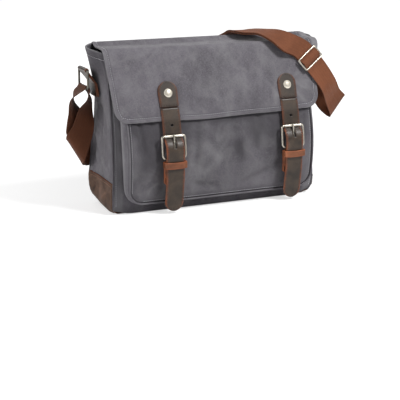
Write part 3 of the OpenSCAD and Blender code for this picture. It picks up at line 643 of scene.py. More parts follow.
def herringbone_tree():
    """Twill lines that turn back at each stripe, on the piece's own UV map."""
    def build(tree, given):
        w = Wires(tree)
        at = w.split(given["Vector"])
        back = w.math("PINGPONG", at[0], given["Stripe"])
        line = w.math("DIVIDE", w.math("ADD", at[1], back), given["Pitch"])
        wave = w.math("SINE", w.math("MULTIPLY", line, 2 * math.pi))
        edge = w.math("MINIMUM", back, w.math("SUBTRACT", given["Stripe"], back))
        return {"Height": w.math("MULTIPLY_ADD", wave, 0.5, 0.5),
                "Grooves": w.span(edge, 0.0, 0.006, 1.0, 0.0)}
    inputs = {"Vector": "Vector", "Stripe": 0.048, "Pitch": 0.017}
    return node_tree("Herringbone", "ShaderNodeTree", inputs, build)


def grain_tree():
    """Pebbled leather grain with fine pores."""
    def build(tree, given):
        w, v, pebbles = Wires(tree), given["Vector"], given["Pebbles"]
        cell = w.node("ShaderNodeTexVoronoi", {"Vector": v, "Scale": pebbles}, feature="F1")["Distance"]
        pores = w.noise(v, w.math("MULTIPLY", pebbles, 3.0), 2.0)
        return {"Height": w.math("MULTIPLY_ADD", pores, 0.35, w.math("SUBTRACT", 1.0, cell)),
                "Creases": w.span(cell, 0.45, 0.9),
                "Pull-up": w.noise(v, w.math("MULTIPLY", pebbles, 0.05), 5.0, 0.62, 0.6)}
    return node_tree("Leather grain", "ShaderNodeTree", {"Vector": "Vector", "Pebbles": 620.0}, build)


def material(name, paint):
    """A material, made the first time it's asked for.

    paint adds its nodes, given the object's and the UV map's coordinates, and gives the shader's inputs."""
    mat = bpy.data.materials.get(name)
    if mat is None:
        mat = bpy.data.materials.new(name)
        mat.use_nodes = True
        tree = mat.node_tree
        tree.nodes.clear()
        at = node(tree, "ShaderNodeTexCoord", {})
        shader = node(tree, "ShaderNodeBsdfPrincipled", paint(Wires(tree), at["Object"], at["UV"]))
        node(tree, "ShaderNodeOutputMaterial", {"Surface": shader[0]})
    return mat


def canvas(name, colour, pale=0.55, blotch=12.0, threads=390.0, rough=0.86, weave=0.16, depth=0.00022,
           sheen=0.18):
    """Waxed cloth: mottled, rubbed pale on its creases and edges, with painted light and painted shade where
    its pieces mark them, and a fine weave.
    """
    def paint(w, at, uv):
        mottle = w.group(mottle_tree(), Vector=at, Blotch_size=blotch)
        cloth = w.group(weave_tree(), Vector=uv, Threads=threads)
        light, dark = towards(colour, 0.42, 0.34 * pale / 0.55), scaled(colour, 0.62)
        streaks = w.noise(w.place(at, (44.0, 44.0, 20.0)), 1.0, 4.0, 0.62)
        speck = w.noise(at, 460.0, 2.0, 0.7)
        slub = w.math("MAXIMUM", *(w.noise(w.place(uv, size), 1.0, 2.0, 0.6)
                                   for size in ((22.0, 300.0, 1.0), (300.0, 22.0, 1.0))))
        col = w.mix(w.span(mottle["Blotches"], 0.36, 0.66), scaled(colour, 0.76), scaled(colour, 1.26))
        col = w.tint(col, w.span(streaks, 0.48, 0.66), 0.45, light)
        col = w.tint(col, w.span(streaks, 0.48, 0.32), 0.5, dark)
        col = w.tint(col, w.span(mottle["Fibres"], 0.45, 0.75), 0.2, light)
        col = w.tint(col, w.span(speck, 0.5, 0.68), 0.3, light)
        col = w.tint(col, w.span(speck, 0.5, 0.32), 0.3, dark)
        col = w.tint(col, w.span(slub, 0.54, 0.72), 0.6, light)
        col = w.tint(col, w.span(slub, 0.52, 0.40), 0.55, dark)
        col = w.tint(col, mottle["Rubbed lines"], 0.55, light)
        col = w.tint(col, w.attribute("crease"), 0.85, light)
        # the pale mark: rubbed wear, and painted light where a piece renders too dark
        col = w.tint(col, w.attribute("pale"), 0.9, towards(colour, 0.6, 0.4))
        # the shade mark: painted shade and painted shadow where a piece marks them, with some darker patches
        col = w.tint(col, w.attribute("shade"), 0.8, scaled(colour, 0.36))
        col = w.tint(col, cloth["Gaps"], 0.20, dark)
        height = w.math("MULTIPLY_ADD", mottle["Fibres"], 0.9, slub)
        height = w.math("MULTIPLY_ADD", cloth["Height"], weave / 0.16, height)
        return {"Base Color": col,
                "Roughness": w.span(mottle["Fibres"], 0.2, 0.8, rough - 0.1, rough + 0.08),
                "Specular IOR Level": 0.32, "Sheen Weight": sheen, "Sheen Roughness": 0.45,
                "Normal": w.bump(height, 0.55, depth)}
    return material(name, paint)


def leather(name, colour, edge, rough=0.42, coat=0.08, pebbles=620.0):
    """Oiled leather: paler where it's pulled, with the raw colour on its cut edges."""
    def paint(w, at, uv):
        grain = w.group(grain_tree(), Vector=at, Pebbles=pebbles)
        pull = grain["Pull-up"]
        worn = w.noise(at, 90.0, 4.0, 0.6)
        rubbed = w.math("MULTIPLY", w.attribute("edge"), w.span(worn, 0.38, 0.6, 0.35, 1.0))
        raw = w.mix(w.span(worn, 0.35, 0.65), scaled(edge, 0.7), scaled(edge, 1.15))
        col = w.mix(w.span(pull, 0.35, 0.72), scaled(colour, 0.5), scaled(colour, (1.5, 1.42, 1.32)))
        col = w.tint(col, w.span(pull, 0.6, 0.74), 0.5, scaled(colour, (2.1, 1.75, 1.5)))
        col = w.tint(col, grain["Creases"], 0.4, scaled(colour, 0.55))
        col = w.tint(col, rubbed, 0.75, scaled(edge, (0.7, 0.62, 0.66)))
        col = w.mix(w.attribute("rim"), col, raw)
        # painted shade and painted shadow where a piece marks them
        col = w.tint(col, w.attribute("shade"), 0.7, scaled(colour, 0.45))
        smooth = w.span(pull, 0.3, 0.7, rough + 0.1, rough - 0.1)
        return {"Base Color": col,
                "Roughness": w.math("ADD", smooth, w.math("MULTIPLY", w.attribute("rim"), 0.2)),
                "Specular IOR Level": 0.36, "Coat Weight": coat, "Coat Roughness": 0.38,
                "Normal": w.bump(grain["Height"], 0.4, 0.00018)}
    return material(name, paint)


def webbing(name, colour):
    """Woven strap in a herringbone twill."""
    def paint(w, at, uv):
        mottle = w.group(mottle_tree(), Vector=at, Blotch_size=18.0, Fibre_size=260.0)
        bone = w.group(herringbone_tree(), Vector=uv)
        col = w.mix(w.span(mottle["Blotches"], 0.35, 0.65), scaled(colour, 0.84), scaled(colour, 1.2))
        col = w.tint(col, w.span(bone["Height"], 0.1, 0.55, 1.0, 0.0), 0.42, scaled(colour, 0.5))
        col = w.tint(col, bone["Grooves"], 0.3, scaled(colour, 0.5))
        col = w.tint(col, w.span(mottle["Fibres"], 0.5, 0.8), 0.28, scaled(colour, 1.7))
        col = w.tint(col, w.attribute("edge"), 0.35, scaled(colour, 0.6))
        # painted shade where a length marks it
        col = w.tint(col, w.attribute("shade"), 0.8, scaled(colour, 0.35))
        height = w.math("MULTIPLY_ADD", mottle["Fibres"], 0.4, bone["Height"])
        return {"Base Color": col, "Roughness": w.span(mottle["Fibres"], 0.2, 0.8, 0.72, 0.9),
                "Specular IOR Level": 0.2, "Sheen Weight": 0.1, "Sheen Roughness": 0.4,
                "Normal": w.bump(height, 0.5, 0.0003)}
    return material(name, paint)


def metal(name, colour, rough=0.3, dark=0.35, scale=70.0):
    """Cast metal with a darker patina in blotches of one over scale metres."""
    def paint(w, at, uv):
        mottle = w.group(mottle_tree(), Vector=at, Blotch_size=scale, Fibre_size=900.0)
        blotches, fibres = mottle["Blotches"], mottle["Fibres"]
        col = w.mix(w.span(blotches, 0.3, 0.7), scaled(colour, 1 - dark), scaled(colour, 1.1))
        col = w.tint(col, w.span(fibres, 0.55, 0.8), 0.5, scaled(colour, 0.45))
        # painted shade where a piece marks it
        col = w.tint(col, w.attribute("shade"), 0.9, scaled(colour, 0.16))
        return {"Base Color": col, "Metallic": 1.0,
                "Roughness": w.span(blotches, 0.3, 0.7, rough + 0.14, rough - 0.04),
                "Normal": w.bump(fibres, 0.25, 0.00005)}
    return material(name, paint)


def thread(name, colour):
    """Twisted sewing thread."""
    def paint(w, at, uv):
        twist = w.noise(at, 1400.0, 2.0)
        return {"Base Color": w.mix(w.span(twist, 0.3, 0.7), scaled(colour, 0.72), scaled(colour, 1.15)),
                "Roughness": w.span(twist, 0.3, 0.7, 0.6, 0.8), "Sheen Weight": 0.2,
                "Normal": w.bump(twist, 0.4, 0.0001)}
    return material(name, paint)


FINISHES = {
    "canvas": lambda c: canvas("Waxed canvas", c.canvas),
    "welt": lambda c: canvas("Canvas binding", scaled(c.canvas, 0.72), pale=0.35, blotch=30.0),
    "backing": lambda c: canvas("Canvas backing", scaled(c.canvas, 0.62), pale=0.3),
    "leather": lambda c: leather("Oiled leather", c.leather, c.edge),
    "keeper": lambda c: leather("Tan leather", towards(c.leather, c.edge, 0.5), scaled(c.edge, 1.3), 0.46),
    "corner": lambda c: leather("Suede leather", c.corner, scaled(c.edge, 0.6), 0.72, 0.0, 800.0),
    "dark leather": lambda c: leather("Dark oiled leather", scaled(c.leather, 0.72), scaled(c.edge, 0.5)),
    "webbing": lambda c: webbing("Herringbone webbing", c.webbing),
    "metal": lambda c: metal("Antique nickel", c.metal),
    "rivet": lambda c: metal("Satin nickel", scaled(c.metal, 1.1), 0.48, 0.3),
    # the side rings' metal: partly their darker tone, partly painted shade
    "dark_shaded_nickel": lambda c: metal("Dark shaded nickel", scaled(c.metal, 0.34), 0.38, 0.5),
    "brass": lambda c: metal("Zip metal", (0.36, 0.30, 0.22), 0.34, 0.4, 300.0),
    "lining": lambda c: canvas("Lining cloth", c.lining, pale=0.2, blotch=20.0, threads=780.0, rough=0.7,
                               weave=0.1, depth=0.0001, sheen=0.1),
    "pad": lambda c: canvas("Divider cloth", scaled(c.lining, 1.5), pale=0.25, blotch=16.0, threads=520.0,
                            rough=0.8),
    "tape": lambda c: canvas("Zip tape", scaled(c.lining, 0.7), pale=0.15, threads=700.0, rough=0.8,
                             depth=0.0001),
    "pale thread": lambda c: thread("Grey thread", c.thread),
    "brown thread": lambda c: thread("Brown thread", c.brown_thread),
    # thread for the straps and tabs: a dark thread made darker still as painted shade in its stitch holes
    "shaded dark thread": lambda c: thread("Shaded dark thread", scaled(c.brown_thread, (0.09, 0.08, 0.1))),
}


def finish_of(key):
    """One of the bag's materials, with the colours set in the sidebar."""
    return FINISHES[key](props("bag_colours"))


# ---- shapes shared by several pieces ----
def ease(n):
    """Steps from -1 to 1, closer together at both ends."""
    t = np.linspace(-1, 1, n + 1)
    return 1.5 * t - 0.5 * t ** 3


FRONT, RIGHT, BACK, LEFT = range(4)
WALL_STEPS = (78, 40, 78, 40)    # points across the front, right, back and left walls
FIRST = (0, 78, 118, 196)    # the first point of each wall
WALLS = np.repeat(range(4), WALL_STEPS)
ACROSS = np.concatenate([ease(n)[:-1] for n in WALL_STEPS])


def back_share(wall, u):
    """0 at the front wall, 1 at the back one."""
    return np.select([wall == FRONT, wall == RIGHT, wall == BACK], [0.0, (u + 1) / 2, 1.0], (1 - u) / 2)


def tuck(z, reach, height):
    """How far a wall draws in at a height, on its round lower edge."""
    d = np.clip((height - z) / height, 0, 1)
    return reach * (1 - np.sqrt(1 - d * d))


def settle(y, z):
    """How far the soft top of the flap and the webbing on it sink towards the back."""
    return SETTLE * step(268, 287, z) * step(-32, 8, y)


def side_tuck(z, side, share):
    """The slumped lower edge of a gusset: side is 0 at the left and 1 at the right, share 0 at the front."""
    reach = (6 + 9 * share) * (1 - side) + (17 - 3 * share) * side
    height = (14 + 28 * share) * (1 - side) + (50 - 6 * share) * side
    swell = np.interp(z, [0, 22, 45, 110, 150, 200, 240, 296], [0, 6, 9, 7, 3, 1, 3, 5.5])
    return tuck(z, reach, height) - swell * share ** 2.2 * (1 - side)


def wall_ring(z, inset=0.0):
    """Points round the body's walls at heights z, rows by columns, drawn in by inset."""
    w, u = WALLS[None, :], ACROSS[None, :]
    walls = [w == FRONT, w == RIGHT, w == BACK]
    share = back_share(w, u)
    right = np.select(walls, [(u > 0) * 1.0, 1.0, (u < 0) * 1.0], 0.0)
    flat = (w == FRONT) | (w == BACK)
    near = bell((1 - np.abs(u)) * np.where(flat, BODY_W, BASE_D) / 2, 15)
    pull = side_tuck(z, right, share) * np.where(flat, np.abs(u) ** 3, 1.0) + tuck(z, 3.0, 20.0) * near
    hw, fy = half_w(z) - inset, face_y(z) - inset - tuck(z, 3.5 + 4.5 * near, 10.0 + 12.0 * near)
    x = np.select(walls, [u * hw, hw + bow(z, u), -u * hw], -(hw + bow(z, -u)))
    y = np.select(walls, [-fy, u * fy, fy], -u * fy)
    rise = 4.5 * near * np.clip(1 - z / 26, 0, 1) ** 2
    return grid(x - np.where(right > 0, 1.0, -1.0) * pull, y, z + rise)


def wall_fold(z, depth):
    """How far the walls' face moves out, in millimetres, and where its creases lie."""
    w, u = WALLS[None, :], ACROSS[None, :]
    x, y = np.moveaxis(wall_ring(z), -1, 0)[:2]
    soft = wobble(x / 50, y / 50, z / 62, 1) * 0.8 + wobble(x / 21, y / 21, z / 30, 2) * 0.45
    corner = step(1.0, 0.90, np.abs(u))
    flat = (w == FRONT) | (w == BACK)
    line = np.where(flat, creases(x, z, 26, 2.2, 12, 3),
                    creases(y, z, 15, 2.6, 62, 5) + 0.8 * creases(y, z, 11, 2.2, 115, 6))
    low = step(3, 26, z)
    side = np.where(w == RIGHT, u, -u)
    middle = 0.05 + 0.25 * wobble(z / 80, 0.3, 0, 8)
    valley = bell(side - middle, 0.2) * step(60, 110, z) * step(230, 185, z)
    tab = step(34, 22, np.abs(y - 7)) * step(170, 188, z)
    amount = np.where(flat, -np.abs(soft) * 2.4 - line * 0.8,
                      soft * 3.4 + line * 2.2 - valley * 4.0 - 1.0) * corner * low * depth
    amount = np.where(flat | (tab <= 0), amount, amount * (1 - tab) - 0.6 * tab)
    return amount, line * corner * low


def smooth_round(p, times):
    """A ring's points, each drawn towards its neighbours a few times."""
    for _ in range(times):
        p = (np.roll(p, 1, 1) + 2 * p + np.roll(p, -1, 1)) / 4
    return p


def wall_rim():
    """Height of the walls' rim, which sinks at the back with the flap sewn to it."""
    return (FRONT_H - 4.0 + (BACK_H - FRONT_H - 3.0) * back_share(WALLS, ACROSS))[None, :]


def wall_cloth(rows, inset, depth, rim, low=0.4):
    """The body's wall as a closed ring of cloth, from its lower edge to its rim, and its heights."""
    v = rows[:, None]
    z = low + (rim - low) * v
    cl = Cloth(rows, np.arange(len(WALLS)), smooth_round(wall_ring(z, inset), 5), -1, wrap=True)
    amount, line = wall_fold(z, depth)
    return cl.push(amount).mark("crease", line * 0.5), z


def rounded(d, r, least=0.0):
    """The half width of a round end of radius r at a distance d from its tip, and r beyond it."""
    left = np.clip(r - d, 0, r)
    return np.sqrt(np.clip(r * r - left * left, least, None))


def pocket_half(z, inset=0.0):
    """Half width of the pocket's outline at a height."""
    r, low = POCKET_R - inset, POCKET_Z0 + inset
    return POCKET_W / 2 - inset - r + rounded(z - low, r)


def pocket_path(inset=0.0, pitch=4.0):
    """The pocket's outline as (x, z), down its left side, along its lower edge and up its right side."""
    r, w, low = POCKET_R - inset, POCKET_W / 2 - inset, POCKET_Z0 + inset
    turn = [(r - w - r * math.cos(a), low + r - r * math.sin(a)) for a in np.linspace(0, np.pi / 2, 13)]
    left = [(-w, POCKET_Z1), *turn]
    right = [(-x, z) for x, z in reversed(left)]
    return even(np.array(left + right), pitch) + np.array([POCKET_X, 0.0])


def near_strap(x, width, soft):
    """1 beside a closing strap, falling to 0 away from it."""
    d = np.minimum(np.abs(x - STRAP_X["left"]), np.abs(x - STRAP_X["right"]))
    return step(width + soft, width, d)


FLAP_DIR = unit(np.array(FLAP_END) - np.array(FRONT_FOLD))
FLAP_OUT = np.array([FLAP_DIR[1], -FLAP_DIR[0]])
FLAP_HALF_T = 1.2


def flap_face(z):
    """Outer face of the flap's hanging run at a height, as (y, z)."""
    down = (z - FRONT_FOLD[1]) / FLAP_DIR[1]
    return np.array(FRONT_FOLD) + FLAP_DIR * down + FLAP_OUT * FLAP_HALF_T


def right_normals(line):
    """The unit normals of a flat line, on the right-hand side of the way along it."""
    t = unit(np.gradient(line, axis=0))
    return np.stack([t[:, 1], -t[:, 0]], 1)


def flap_profile(pitch):
    """The flap's outer face as (y, z) from its sewn edge on the back, over both folds, to its free edge."""
    q = even([(face_y(229) + 1.5, 229.0), BACK_FOLD, FRONT_FOLD, FLAP_END], 0.5)
    tight, soft = soften(q, 5.5, 3), soften(q, 17.0, 3)
    share = (step(6, -14, q[:, 0]) * step(228, 246, q[:, 1]))[:, None]
    q = even(tight * (1 - share) + soft * share, pitch)
    return q + FLAP_HALF_T * right_normals(q)


def add(name, body, nodes, *obs, slot):
    """Joins the objects into one named piece that rides on a body and stands for some nodes."""
    ob = join(list(obs)) if len(obs) > 1 else obs[0]
    ob.name = ob.data.name = name
    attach(ob, body)
    if nodes:
        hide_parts(*nodes)
    return ob


def in_metres(*points):
    """Points in millimetres as lists in metres."""
    return [[v * MM for v in p] for p in points]


# ---- settings shown in the sidebar ----
def colour_prop(name, description, rgb):
    return bpy.props.FloatVectorProperty(name=name, description=description, subtype="COLOR", size=3, min=0.0,
                                         max=1.0, default=srgb(*rgb))


def length_prop(name, description, mm):
    return bpy.props.FloatProperty(name=name, description=description, default=mm * MM, min=0.0,
                                   subtype="DISTANCE", unit="LENGTH")


class BagColours(bpy.types.PropertyGroup):
    canvas: colour_prop("Canvas", "Waxed canvas of the body, pocket and flap", (95, 91, 98))
    leather: colour_prop("Leather", "Dark oiled leather of the straps and tabs", (67, 56, 47))
    edge: colour_prop("Raw edge", "Cut edge of the leather", (164, 93, 54))
    corner: colour_prop("Corner leather", "Matt leather on the lower corners", (88, 66, 54))
    webbing: colour_prop("Webbing", "Shoulder strap and back band", (120, 73, 50))
    metal: colour_prop("Metal", "Buckles, rings, rivets and snaps", (196, 190, 178))
    lining: colour_prop("Lining", "Cloth inside the bag", (34, 34, 37))
    thread: colour_prop("Canvas thread", "Stitching on the canvas", (190, 188, 194))
    brown_thread: colour_prop("Leather thread", "Stitching on the leather", (150, 104, 78))


class BagCloth(bpy.types.PropertyGroup):
    folds: bpy.props.FloatProperty(name="Folds", description="Depth of the folds in the canvas, 1 as made",
                                   default=1.0, min=0.0, max=1.5, subtype="FACTOR")
    sag: length_prop("Flap sag", "How far the middle of the flap's top hangs down", 4.5)
    canvas: length_prop("Canvas thickness", "Thickness of a canvas wall with its backing", 2.4)
    welt: length_prop("Binding radius", "Radius of the bound seams down the body's edges", 1.5)
    piping: length_prop("Piping radius", "Radius of the cord round the front pocket", 1.55)
    pitch: length_prop("Stitch pitch", "Distance from one stitch to the next", 3.6)
    stitch: length_prop("Stitch length", "Length of one stitch", 2.6)
    thread: length_prop("Thread radius", "Radius of the sewing thread", 0.52)


def stitches(rows, key="pale thread", **sizes):
    """Stitches along rows of points, with the sidebar's sizes or others in millimetres."""
    c = props("bag_cloth")
    values = {"Pitch": c.pitch, "Length": c.stitch, "Thread": c.thread}
    values.update({label: mm * MM for label, mm in sizes.items()})
    return grow("stitches", stitch_tree(), rows, finish_of(key), **values)


def add_sewn(name, side, body, node, ob, lines, key, **sizes):
    """Adds a leather piece at one side of the bag, and its stitches."""
    add(name + "_leather_" + side, body, [node + "_" + side], ob, slot="leather")
    add(name + "_stitches_" + side, body, [], stitches(lines, key, **sizes), slot="leather")


def panel(name, cloth, **shape):
    """A sheet of canvas with its backing."""
    thick = props("bag_cloth").canvas / MM
    return sew(name, cloth, thick, finish_of("canvas"), finish_of("backing"), **shape)


def steps(*spans):
    """Even steps through spans of (first, last, count), where each span begins at the last one's end."""
    parts = [np.linspace(*span) for span in spans]
    return np.concatenate([part[:-1] for part in parts[:-1]] + parts[-1:])


class Piece(bpy.types.Operator):
    """Shared parts of the operators that build one piece of the bag."""
    bl_options = {"REGISTER"}

    def execute(self, context):
        self.build(props("bag_cloth"))
        return {"FINISHED"}


# ---- body ----
WALL_HEM = 11.0    # from the walls' rim down to its row of stitches
CORNER_X = 134.5    # where the corner leather begins under the base


class BAG_OT_walls(Piece):
    """One shell of waxed canvas for the front, back and both gussets, with a bound seam down each edge"""
    bl_idname = "bag.walls"
    bl_label = "Body walls"

    def build(self, c):
        rows = steps((0, 0.028, 7), (0.028, 0.94, 62), (0.94, 1, 8))
        cl, z = wall_cloth(rows, 0.0, c.folds, wall_rim())
        hem = wall_rim() - z
        cl.push(0.25 * step(9, 6, hem) * step(0, 2, hem) - 0.55 * bell(hem - WALL_HEM, 1.0))
        self.paint_wear_light_and_shade(cl, z, hem)
        add("body_walls", "bag", ["back_panel", "front_panel", "side_gusset_left", "side_gusset_right"],
            panel("walls", cl, bulge=0.4), slot="canvas")
        welts = []
        for j in FIRST:
            keep = (z[:, j] > 3.0) & (hem[:, j] > 0.5)
            line = (cl.p[:, j] + cl.n[:, j] * 0.2)[keep]
            welts.append(tube("welt", even(line, 3.0), c.welt / MM, finish_of("welt"), sides=10))
        add("body_bindings", "bag", [], *welts, slot="canvas")
        lines = []
        for wall in (RIGHT, LEFT):
            line = []
            for j in range(FIRST[wall] + 2, FIRST[wall] + 39):
                i = nearest(hem[:, j], WALL_HEM)
                line.append(cl.p[i, j] + cl.n[i, j] * 0.3)
            lines.append(line)
        for j in (FIRST[FRONT] + 5, FIRST[RIGHT] - 5, FIRST[BACK] + 5, FIRST[LEFT] - 5):
            lines.append((cl.p[:, j] + cl.n[:, j] * 0.25)[8:-3])
        add("body_stitches", "bag", [], stitches(lines), slot="canvas")

    def paint_wear_light_and_shade(self, cl, z, hem):
        """Pale rubbed wear on the rim and the edges and painted light on the front wall beside its corners;
        painted shade under the flap, near the floor, in the rim's stitch groove, in the crease along the
        front seams and in soft patches on the gussets.
        """
        u = np.abs(ACROSS)[None, :]
        cl.mark("pale", 0.5 * step(1.6, 0.2, hem) + 0.4 * step(0.90, 0.93, u) * (WALLS == FRONT)
                + 0.22 * step(0.9, 1.0, u) * bumps(z / 9, u * 3, 0, 6))
        gusset = (WALLS == RIGHT) | (WALLS == LEFT)
        front = np.select([WALLS == RIGHT, WALLS == LEFT], [-ACROSS, ACROSS], -9.0)[None, :]
        seam = bell(front - 0.90 - 0.04 * wobble(z / 24, 0.4, 0, 83), 0.035)
        # painted shadow of the flap on the gussets' upper front
        flap_shadow = step(190, 270, z) * step(0.75, 0.25, back_share(WALLS, ACROSS)) * gusset
        cl.mark("shade", 0.6 * flap_shadow + 0.65 * step(22, 0, z) + 0.5 * bell(hem - WALL_HEM, 1.2)
                + 0.85 * seam * step(30, 60, z) + 0.35 * gusset * bumps(cl.p[..., 1] / 13, z / 70, 0, 81))


class BAG_OT_base(Piece):
    """Doubled canvas base between the leather corners"""
    bl_idname = "bag.base"
    bl_label = "Base"

    def build(self, c):
        flank = np.linspace(136, 184.5, 14)
        x, y = np.concatenate([-flank[::-1], np.linspace(-133, 133, 50), flank]), np.linspace(-48.0, 48.0, 30)
        across, deep, share = np.abs(x)[:, None], y[None, :], (y[None, :] + 48) / 96
        edge = np.where(x[:, None] < 0, side_tuck(0.5, 0.0, share), side_tuck(0.5, 1.0, share))
        out = np.clip((across - 134) / 50.5, 0, 1)
        near = bell(48 - np.abs(deep), 15) * out ** 4
        wide = np.sign(x[:, None]) * (np.minimum(across, 134) + out * (52.5 - edge - 6 * near))
        bare = 0.05 + 0.35 * bumps(x[:, None] / 30, deep / 30, 0, 3)
        z = np.where(across > CORNER_X, 2.25, bare)
        # the whole base gets painted shade
        cl = Cloth(x, y, grid(wide, deep * (1 - 0.12 * near), z), -1).mark("shade", 0.4)
        base = sew("base", cl, 4.55 - z, finish_of("canvas"), finish_of("backing"), bulge=0.3)
        add("body_base", "bag", ["base_panel"], base, slot="canvas")


class BAG_OT_corners(Piece):
    """Matt leather over each lower corner, wrapped under the base"""
    bl_idname = "bag.corners"
    bl_label = "Corner patches"

    def build(self, c):
        rows, t = np.linspace(0, 1, 26), np.linspace(-1, 1, 41)
        rim = (50.0 + 7.0 * back_share(WALLS, ACROSS))[None, :]
        cl, z = wall_cloth(rows, 0.0, c.folds, rim, low=0.2)
        for side, sign, wall in (("left", -1, LEFT), ("right", 1, RIGHT)):
            p = (cl.p + cl.n * 2.2)[:, (FIRST[wall] + np.arange(len(t))) % len(WALLS)]
            p[..., 2] = np.maximum(p[..., 2], 0.2 + 0.3 * rows[:, None])
            deep = face_y(z[:, :1]) - 2.8
            p[..., 1] = np.clip(p[..., 1], -deep, deep)
            under = self.under(p[0], sign)
            q = np.concatenate([under, p])
            on_wall = (np.arange(len(q)) >= len(under))[:, None]
            height = np.concatenate([np.zeros(len(under)), rows * 54])[:, None]
            leaf = Cloth(np.arange(len(q)), t, q, -1)
            soft = 0.35 * wobble(q[..., 1] / 14, q[..., 2] / 14, 0, 4)
            leaf.push(soft * step(0.98, 0.9, np.abs(t)) * on_wall)
            leaf.mark("edge", 0.5 * step(51.5, 54, height) + 0.2 * step(0.9, 1.0, np.abs(t)))
            # painted shade near the floor
            leaf.mark("shade", 0.55 * step(24, 0, height))
            patch = sew("patch", leaf, 1.9, finish_of("corner"), bulge=0.3)
            row = leaf.path([(len(q) - 1 - 2.3, v) for v in np.linspace(-0.97, 0.97, 60)], 0.25)
            add_sewn("corner", side, "bag", "corner_patch", patch, [row], "brown thread")

    def under(self, foot, sign):
        """Rows under the base from the leather's inner edge out, then up to the wall's lowest row."""
        rise = foot[:, 2] - foot[len(foot) // 2, 2]
        reach = np.abs(foot[:, 0]) - 3.0 - rise - CORNER_X
        deep = np.clip(foot[:, 1], -51, 51) * (0.97 - 0.008 * rise)
        rows = [grid(sign * (CORNER_X + reach * k / 14), deep, 0.1) for k in range(15)]
        outer = rows[-1]
        for a in (0.2, 0.4, 0.6, 0.8):
            row = foot * a + outer * (1 - a)
            row[:, 2] = 0.1 + (foot[:, 2] - 0.1) * a * a
            rows.append(row)
        return np.array(rows)


class BAG_OT_lining(Piece):
    """Loose lining that hangs inside the walls, with a bound mouth"""
    bl_idname = "bag.lining"
    bl_label = "Lining"

    def build(self, c):
        rim = np.full((1, len(WALLS)), FRONT_H - 8)
        cl, z = wall_cloth(np.linspace(0, 1, 46), 3.5, c.folds, rim, low=5.6)
        cl.push(-0.9 * np.abs(wobble(cl.p[..., 0] / 28, cl.p[..., 1] / 28, z / 60, 11)) * step(6, 30, z))
        wall = sew("wall", cl, 0.8, finish_of("lining"), bulge=0.5)
        x, y = np.linspace(-180, 180, 40), np.linspace(-45, 45, 14)
        floor = Cloth(x, y, grid(x[:, None], y[None, :], 6.3))
        bottom = sew("bottom", floor, 0.8, finish_of("lining"), bulge=0.3)
        mouth = cl.p[-1] + np.array([0, 0, -0.4]) - cl.n[-1] * 0.4
        tape = tube("tape", mouth, 1.0, finish_of("tape"), closed=True)
        add("lining_cloth", "bag", ["lining"], wall, bottom, tape, slot="lining")


class BAG_OT_divider(Piece):
    """Padded laptop divider with sewn channels and a bound top"""
    bl_idname = "bag.divider"
    bl_label = "Padded divider"

    def build(self, c):
        low, high, channels = 7.3, 231.6, (30.0, 90.0, 148.0)
        z, t = steps((low, 14, 6), (14, 226, 76), (226, high, 6)), ease(90)
        zz, tt = z[:, None], t[None, :]
        half = half_w(zz) - 6.8 - side_tuck(zz, 1.0, 0.8)
        x = tt * half
        edge = np.minimum(np.minimum(zz - low, high - zz), (1 - np.abs(tt)) * half)
        channel = np.min([np.abs(np.abs(x) - v) for v in channels], axis=0)
        puff = step(0, 12, edge) * (0.45 + 0.55 * step(0, 9, channel))
        mid = face_y(zz) - 21.8 - 2.5
        front, back = mid - 0.55 - 1.9 * puff, mid + 0.55 + 1.8 * puff
        cl = Cloth(z, t, grid(x, front, zz), -1)
        # painted shade in the sewn channels
        cl.mark("shade", 0.6 * bell(channel, 1.5) * step(2, 10, edge))
        cl.n = np.broadcast_to((0, -1.0, 0), cl.p.shape)
        pad = sew("pad", cl, back - front, finish_of("pad"), bulge=0.5)
        pad = add("divider_pad", "bag", ["laptop_divider"], pad, slot="lining")
        top = grid(t * (half_w(high) - 6.8), mid[-1], high)
        bind = tube("bind", top, 1.5, finish_of("tape"))
        add("divider_binding", "bag", [], bind, slot="lining")
        both = sorted(side * v for side in (-1, 1) for v in channels)
        lines = [grid(v, mid[8:76, 0] - 1.35, z[8:76]) for v in both]
        add("divider_stitches", "bag", [], stitches(lines), slot="lining")


ZIP_Z, ZIP_PULL_X = 247.0, -84.0    # the zip's teeth, and where its slider stands


